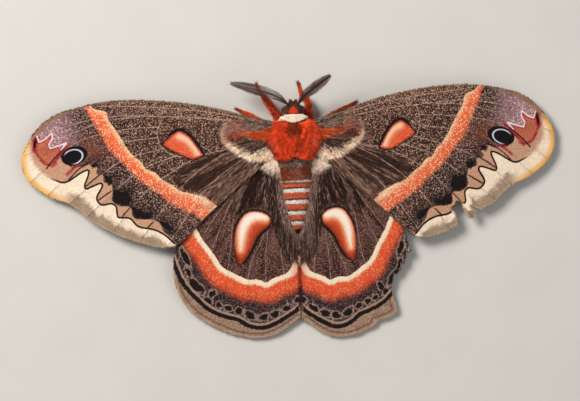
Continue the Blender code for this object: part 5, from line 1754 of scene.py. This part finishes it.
# Each hip's place along Y and its degrees from the top, then the leg's points by side
LEGS = {
    "foreleg": {
        "hip": (4.2, 138.0),
        "left": ((4.6, 7.0, 3.4), (7.3, 11.2, 4.4), (8.7, 13.4, 2.2), (9.5, 14.4, SOLE),
                 (10.0, 15.4, SOLE), (10.2, 16.5, SOLE)),
        "right": ((4.2, 7.0, 3.2), (4.1, 10.6, 4.2), (2.7, 12.3, 2.2), (2.3, 13.5, SOLE),
                  (2.0, 14.9, SOLE), (1.5, 16.4, SOLE)),
    },
    "midleg": {
        "hip": (0.6, 140.0),
        "left": ((5.6, 2.6, 2.9), (9.6, 6.0, 4.8), (12.4, 7.7, 2.4), (13.8, 8.3, SOLE),
                 (15.0, 8.9, SOLE), (16.2, 9.6, SOLE)),
        "right": ((5.6, 2.6, 2.9), (9.6, 6.1, 4.9), (13.0, 7.9, 2.8), (15.2, 8.9, SOLE),
                  (16.5, 9.5, SOLE), (17.8, 10.3, SOLE)),
    },
    "hindleg": {
        "hip": (-3.6, 146.0),
        "left": ((4.6, -5.6, 2.6), (7.6, -10.4, 3.6), (8.8, -14.0, 2.0), (9.2, -16.4, SOLE),
                 (9.5, -18.2, SOLE), (9.8, -20.0, SOLE)),
        "right": ((4.6, -5.6, 2.6), (7.4, -10.2, 3.6), (8.4, -13.6, 2.0), (8.8, -16.0, SOLE),
                  (9.0, -17.8, SOLE), (9.2, -19.6, SOLE)),
    },
}
LEG_TUFTS = 2200
CLAW_LENGTH = 0.75
CLAW_SPREAD = 0.4
# The socket's place along Y and its degrees from the top
ANTENNA_SOCKET = (9.5, 34.0)
ANTENNAE = {
    "left": ((2.5, 10.8, 9.7), (3.9, 11.9, 10.1), (5.8, 12.84, 10.2), (7.7, 13.6, 10.1),
             (10.65, 14.5, 9.7), (13.5, 15.4, 9.1), (17.2, 16.5, 8.1)),
    "right": ((2.2, 11.1, 10.2), (3.9, 12.7, 11.9), (5.73, 13.9, 13.5), (7.0, 14.8, 14.8),
              (8.5, 15.8, 16.2), (10.5, 17.2, 18.2)),
}
STEM_RADII = (0.24, 0.2, 0.17, 0.12, 0.05)
RAY_PITCH = 0.21
RAY_START = 1.2
RAY_LENGTHS = (0.5, 1.5, 1.9, 1.9, 1.7, 1.2, 0.5)
RAY_LEAN = 52.0
RAY_RADIUS = 0.066
LEG_LOWEST = 0.26
LEG_HAIR_LOWEST = 0.06
# How deep the joints and the foot's rings are pinched, and over what length
JOINT_PINCH = 0.28
FOOT_PINCH = 0.2
PINCH_LENGTH = 0.16
EYE_ROWS, EYE_COLUMNS = 38, 64
BODY_ROWS, BODY_SIDES = 300, 80
STEM_SIDES, RAY_SIDES, PALP_SIDES, CLAW_SIDES = 12, 5, 12, 10


def leg_path(kind, side):
    """A leg's middle line from inside the body to the end of its foot."""
    y, degrees = LEGS[kind]["hip"]
    point, out = body_surface(np.array([y]), np.radians([degrees]), 1.0)
    path = smooth_path(np.vstack([point - out * 0.6, point + out * 1.3, LEGS[kind][side]]), 0.2)
    path[:, 2] = np.maximum(path[:, 2], LEG_LOWEST)
    path[:, 0] *= SIGNS[side]
    return path


def leg_radii(kind, side, path):
    """Radii along a leg, pinched at its joints and ringed along the foot."""
    run = path_run(path)
    radii = read_list(LEG_RADII, run / run[-1])
    knots = np.array(LEGS[kind][side]) * (SIGNS[side], 1.0, 1.0)
    places = [run[np.linalg.norm(path - knots[k - 1], axis=1).argmin()] for k in LEG_JOINTS]
    foot = np.linspace(places[1], run[-1], TARSUS_JOINTS + 2)[1:-1]
    pinches = [(p, JOINT_PINCH) for p in places] + [(p, FOOT_PINCH) for p in foot]
    for at, depth in pinches:
        radii = radii * (1 - depth * np.exp(-((run - at) / PINCH_LENGTH) ** 2))
    return radii


def leg_tufts(draw, kind, side, path, radii):
    """Short red hair along a leg, longest on the thigh, worn off at the foot."""
    run = path_run(path)
    share = draw.uniform(0.08, 0.97, LEG_TUFTS) ** 1.15
    at = share * run[-1]
    middle = read_path(path, run, at)
    ahead = unit(read_path(path, run, at + 0.25) - middle)
    around = draw.normal(0, 1, (LEG_TUFTS, 3))
    around = unit(around - (around * ahead).sum(1)[:, None] * ahead)
    tuft = clumps(draw, at, around[:, 0], 0.5, 0.6)
    stout = 0.34 * (kind == "foreleg") * ramp(share, 0.75, 0.5)
    length = (1.0 - 0.35 * share) * draw.uniform(0.7, 1.1, LEG_TUFTS) * (1 + 0.5 * stout)
    flare = (0.3 + 0.12 * ramp(share, 0.3, 0.6) + stout) * (1 + 0.3 * tuft)
    root = middle + around * (np.interp(at, run, radii) * 0.85)[:, None]
    off = around * (flare * length)[:, None]
    tip = root + ahead * length[:, None] + off
    bend = root + ahead * (0.4 * length)[:, None] + off
    for points in (root, bend, tip):
        points[:, 2] = np.maximum(points[:, 2], LEG_HAIR_LOWEST)
    tint = paint("F25A2C", (draw.uniform(0, 1, LEG_TUFTS) < 0.3, "BC4222"))
    stripe = ramp(share, 0.35, 0.42) * ramp(share, 0.66, 0.6) * (around[:, 1] > 0.55)
    tint = paint(tint * (1 + 0.25 * tuft[:, None]),
                 (ramp(share, 0.85, 0.97) * 0.6, "6A2A1C"),
                 (0.35 * stripe * (kind == "midleg"), CREAM))
    spot = rows(0.1 + 0.8 * share, 0.5 + 0.4 * around[:, 0] * SIGNS[side])
    return curved_tufts(draw, root, bend, tip, around, (0.06, 0.1), tint, spot, rings=2)


def claw_parts(path):
    """Two hooks that part from the end of a foot."""
    ahead = unit((path[-1] - path[-4]) * (1.0, 1.0, 0.0))
    side = np.cross(ahead, UP)
    share = np.linspace(0.0, 1.0, 9)
    radii = np.interp(share, (0, 0.6, 1), (0.13, 0.09, 0.02))
    parts = []
    for way in (-1.0, 1.0):
        across = way * (0.06 + CLAW_SPREAD * share ** 1.3)
        hook = (path[-1] + np.outer(CLAW_LENGTH * share - 0.15, ahead) + np.outer(across, side))
        hook[:, 2] = 0.3 + 0.22 * np.sin(share * 2.4) - 0.3 * share ** 2
        parts.append(tube(hook, radii, CLAW_SIDES))
    return parts


def body_loft():
    """The core from brow to tail, its rings stepped like overlapping plates."""
    y = np.repeat(np.linspace(HEAD_FRONT, TAIL_END, BODY_ROWS), BODY_SIDES)
    turn = np.tile(np.arange(BODY_SIDES) * math.tau / BODY_SIDES, BODY_ROWS)
    share = ring_share(y)
    swell = 1 + np.where(y < WAIST_START, 0.05 * (share - 0.5) * (share < 1), 0.0)
    points = body_surface(y, turn)[0]
    middle = body_at(y)[2]
    points[:, 0] *= swell
    points[:, 2] = middle + (points[:, 2] - middle) * swell
    ends = [points[:BODY_SIDES].mean(0), points[-BODY_SIDES:].mean(0)]
    return np.vstack([points, ends]), ring_faces(BODY_ROWS, BODY_SIDES)


def palp_parts():
    """Two short palps under the brow."""
    paths = [palp_path(sign) for sign in SIGNS.values()]
    return [tube(path, read_list(PALP_RADII, np.linspace(0, 1, len(path))), PALP_SIDES)
            for path in paths]


def unite(base, parts, look):
    """Fuse closed parts into one closed surface."""
    group = bpy.data.collections.new("parts")
    bpy.context.scene.collection.children.link(group)
    for k, (verts, faces) in enumerate(parts):
        piece = make_piece(f"part_{k}", verts, faces, look)
        bpy.context.scene.collection.objects.unlink(piece)
        group.objects.link(piece)
    step = base.modifiers.new("union", "BOOLEAN")
    step.operation = "UNION"
    step.operand_type = "COLLECTION"
    step.collection = group
    step.solver = "EXACT"
    deps = bpy.context.evaluated_depsgraph_get()
    mesh = bpy.data.meshes.new_from_object(base.evaluated_get(deps))
    base.modifiers.clear()
    base.data = mesh
    mesh.shade_smooth()
    for piece in list(group.objects):
        bpy.data.objects.remove(piece, do_unlink=True)
    bpy.data.collections.remove(group)


def add_skin(look, paths, radii):
    """One skin for head, collar, thorax, abdomen and legs, with the coat's markings."""
    skin = make_piece("body_skin", *body_loft(), look, "red_hair")
    parts = palp_parts() + [tube(paths[key], radii[key], LEG_SIDES) for key in paths]
    for verts, _ in parts:
        verts[:, 2] = np.maximum(verts[:, 2], LOWEST)
    unite(skin, parts, look)
    places = np.zeros(len(skin.data.vertices) * 3, np.float32)
    skin.data.vertices.foreach_get("co", places)
    x, y, z = ((places.reshape(-1, 3) - ORIGIN) / MM).T
    y = np.clip(y, TAIL_END, HEAD_FRONT)
    wide, tall, middle = body_at(y)
    across, up = x / wide, (z - middle) / tall
    beside = (np.hypot(across, up) > 1.08) & (z < 7.0)
    add_tint(skin, paint(body_tint(y, np.arctan2(across, up)), (beside, "8E2A18")))
    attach(skin, "root")
    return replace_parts(skin, "head", "collar", "thorax", "abdomen",
                       *[f"{kind}_{side}" for kind, side in paths])


def add_eyes(look):
    tilt = np.repeat(np.linspace(0.0, math.pi, EYE_ROWS + 2)[1:-1], EYE_COLUMNS)
    turn = np.tile(np.arange(EYE_COLUMNS) * math.tau / EYE_COLUMNS, EYE_ROWS)
    ball = rows(np.sin(tilt) * np.cos(turn), np.sin(tilt) * np.sin(turn), np.cos(tilt))
    ball = np.vstack([ball, UP, -UP])
    for side, sign in SIGNS.items():
        centre = np.array(EYE_PLACE) * (sign, 1.0, 1.0)
        eye = make_piece(f"eye_{side}_facets", centre + ball * EYE_RADIUS,
                         ring_faces(EYE_ROWS, EYE_COLUMNS), look, "eye_gloss")
        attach(eye, "root")
        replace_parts(eye, f"eye_{side}")


def antenna_path(side):
    point, out = body_surface(np.array([ANTENNA_SOCKET[0]]), np.radians([ANTENNA_SOCKET[1]]))
    path = smooth_path(np.vstack([point - out * 0.2, point + out * 0.7, ANTENNAE[side]]), 0.25)
    path[:, 0] *= SIGNS[side]
    return path


def add_antenna(side, look, draw):
    """A stem with fine rays in two rows on each side."""
    path = antenna_path(side)
    run = path_run(path)
    parts = [tube(path, read_list(STEM_RADII, run / run[-1]), STEM_SIDES)]
    lean = math.radians(RAY_LEAN)
    t = np.linspace(0.0, 1.0, 5)
    for at in np.arange(RAY_START, run[-1] - 0.1, RAY_PITCH):
        root = read_path(path, run, at)
        ahead = unit(read_path(path, run, at + 0.3) - root)
        across = unit(np.cross(ahead, UP))
        lift = np.cross(across, ahead)
        reach = read_list(RAY_LENGTHS, (at - RAY_START) / (run[-1] - RAY_START))
        for way in (-1.0, 1.0):
            for droop in (-0.32, 0.12):
                length = reach * draw.uniform(0.92, 1.06)
                out = across * way * math.sin(lean) + ahead * math.cos(lean) + lift * droop
                ray = root + np.outer(length * t, out) + np.outer(0.22 * length * t ** 2, ahead)
                parts.append(tube(ray, RAY_RADIUS * (1.0 - 0.6 * t), RAY_SIDES))
    verts, faces = join(parts)
    comb = make_piece(f"antenna_{side}_comb", verts, faces, look, "antenna_comb")
    stem = np.arange(len(verts)) < len(parts[0][0])
    add_tint(comb, paint("5C382A", (stem, "3A211A")))
    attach(comb, "root")
    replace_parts(comb, f"antenna_{side}")


# Stage

PHOTO = (580, 401)
PIXEL = 0.28
PHOTO_TILT = 2.24
PHOTO_ORIGIN = (294.5, 140.0)
CAMERA_DISTANCE = 900.0
FOCUS_HEIGHT = 6.0
SENSOR = 36.0
CLIP = (0.01, 10.0)
FLOOR_REACH = 900.0
# Each light's place and size in metres, its power and its colour
LIGHTS = {
    "key": ((-0.3, 0.3, 0.52), 0.25, 7.0, (1.0, 0.97, 0.93)),
    "fill": ((0.45, -0.2, 0.5), 0.5, 1.6, (0.95, 0.97, 1.0)),
}
SKY_COLOUR = (1.0, 0.98, 0.95, 1.0)
SKY_STRENGTH = 0.4


def add_camera():
    """Straight above the moth, as the photograph was taken."""
    turn = math.radians(PHOTO_TILT)
    dx = 0.5 * PHOTO[0] - PHOTO_ORIGIN[0]
    dy = 0.5 * PHOTO[1] - PHOTO_ORIGIN[1]
    x = PIXEL * (dx * math.cos(turn) - dy * math.sin(turn))
    y = -PIXEL * (dx * math.sin(turn) + dy * math.cos(turn))
    data = bpy.data.cameras.new("camera")
    data.sensor_width = SENSOR
    data.lens = SENSOR * CAMERA_DISTANCE / (PHOTO[0] * PIXEL)
    data.clip_start, data.clip_end = CLIP
    camera = bpy.data.objects.new("camera", data)
    bpy.context.scene.collection.objects.link(camera)
    camera.location = to_frame((x, y, CAMERA_DISTANCE + FOCUS_HEIGHT))
    camera.rotation_euler = (0.0, 0.0, -turn)
    bpy.context.scene.camera = camera


def add_light(name, place, size, power, colour):
    data = bpy.data.lights.new(name, "AREA")
    data.size = size
    data.energy = power
    data.color = colour
    light = bpy.data.objects.new(name, data)
    bpy.context.scene.collection.objects.link(light)
    light.location = place
    light.rotation_euler = (-Vector(place)).to_track_quat("-Z", "Y").to_euler()


def add_stage():
    """A pale floor, soft studio lights and a dim even sky."""
    g = Graph("studio_floor", 0.85, 0.2)
    look = g.finish(g.mix(g.noise(0.05), "D6D2CC", "E0DCD6"), g.noise(1.5), 0.01)
    corners = np.array([(-1, -1, 0), (1, -1, 0), (1, 1, 0), (-1, 1, 0)]) * FLOOR_REACH
    make_piece("floor", corners, [(0, 1, 2, 3)], look, smooth=False)
    for name, settings in LIGHTS.items():
        add_light(name, *settings)
    world = bpy.data.worlds.new("sky")
    world.use_nodes = True
    sky = world.node_tree.nodes["Background"].inputs
    sky["Color"].default_value = SKY_COLOUR
    sky["Strength"].default_value = SKY_STRENGTH
    bpy.context.scene.world = world
    bpy.context.scene.view_settings.view_transform = "Standard"


# How each kind of wing is marked, and its hair in the order in which it is drawn
WING_PARTS = {
    "forewing": (forewing_look, forewing_values, (base_tufts, inner_hair, band_tufts)),
    "hindwing": (hindwing_look, hindwing_values,
                 (cream_tufts, long_hair, flank_tufts, middle_tufts)),
}


def add_wings(coat):
    for k, (kind, (make_look, values, hair)) in enumerate(WING_PARTS.items()):
        look = make_look()
        for s, side in enumerate(SIGNS):
            draw = np.random.default_rng(WING_SEED + 10 * k + s)
            wing = Wing(kind, side)
            wing.add(look, values(wing))
            make_coat(f"fringe_{kind}_{side}", [fringe_tufts(draw, wing)], coat, "wing_scales")
            make_coat(f"hair_{kind}_{side}", [grow(draw, wing) for grow in hair], coat,
                      "wing_scales")


def add_coats(coat):
    draw = np.random.default_rng(COAT_SEED)
    make_coat("coat_thorax_back", [thorax_top(draw)], coat, "red_hair")
    make_coat("coat_thorax_sides", thorax_sides(draw) + [rear_lobes(draw)], coat, "red_hair")
    make_coat("coat_waist", waist(draw), coat, "abdomen_hair")
    make_coat("coat_abdomen", [abdomen_coat(draw)], coat, "abdomen_hair")
    make_coat("coat_belly", [belly_coat(draw)], coat, "red_hair")
    make_coat("coat_collar", collar_coat(draw), coat, "white_hair")
    make_coat("coat_head", head_coat(draw), coat, "red_hair")


def add_legs(coat, horn):
    """Leg hair and claws; returns each leg's path and radii for the skin."""
    paths = {(kind, side): leg_path(kind, side) for kind in LEGS for side in SIGNS}
    radii = {key: leg_radii(*key, path) for key, path in paths.items()}
    draw = np.random.default_rng(LEG_SEED)
    for kind in LEGS:
        groups = [leg_tufts(draw, kind, side, paths[kind, side], radii[kind, side])
                  for side in SIGNS]
        make_coat(f"coat_{kind}s", groups, coat, "red_hair")
        verts, faces = join([part for side in SIGNS for part in claw_parts(paths[kind, side])])
        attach(make_piece(f"claws_{kind}s", verts, faces, horn), "root")
    return paths, radii


def main():
    coat = coat_look()
    add_wings(coat)
    add_coats(coat)
    paths, radii = add_legs(coat, claw_look())
    add_skin(skin_look(), paths, radii)
    add_eyes(eye_look())
    comb = antenna_look()
    for side in SIGNS:
        add_antenna(side, comb, np.random.default_rng(ANTENNA_SEED))
    add_stage()
    add_camera()


main()
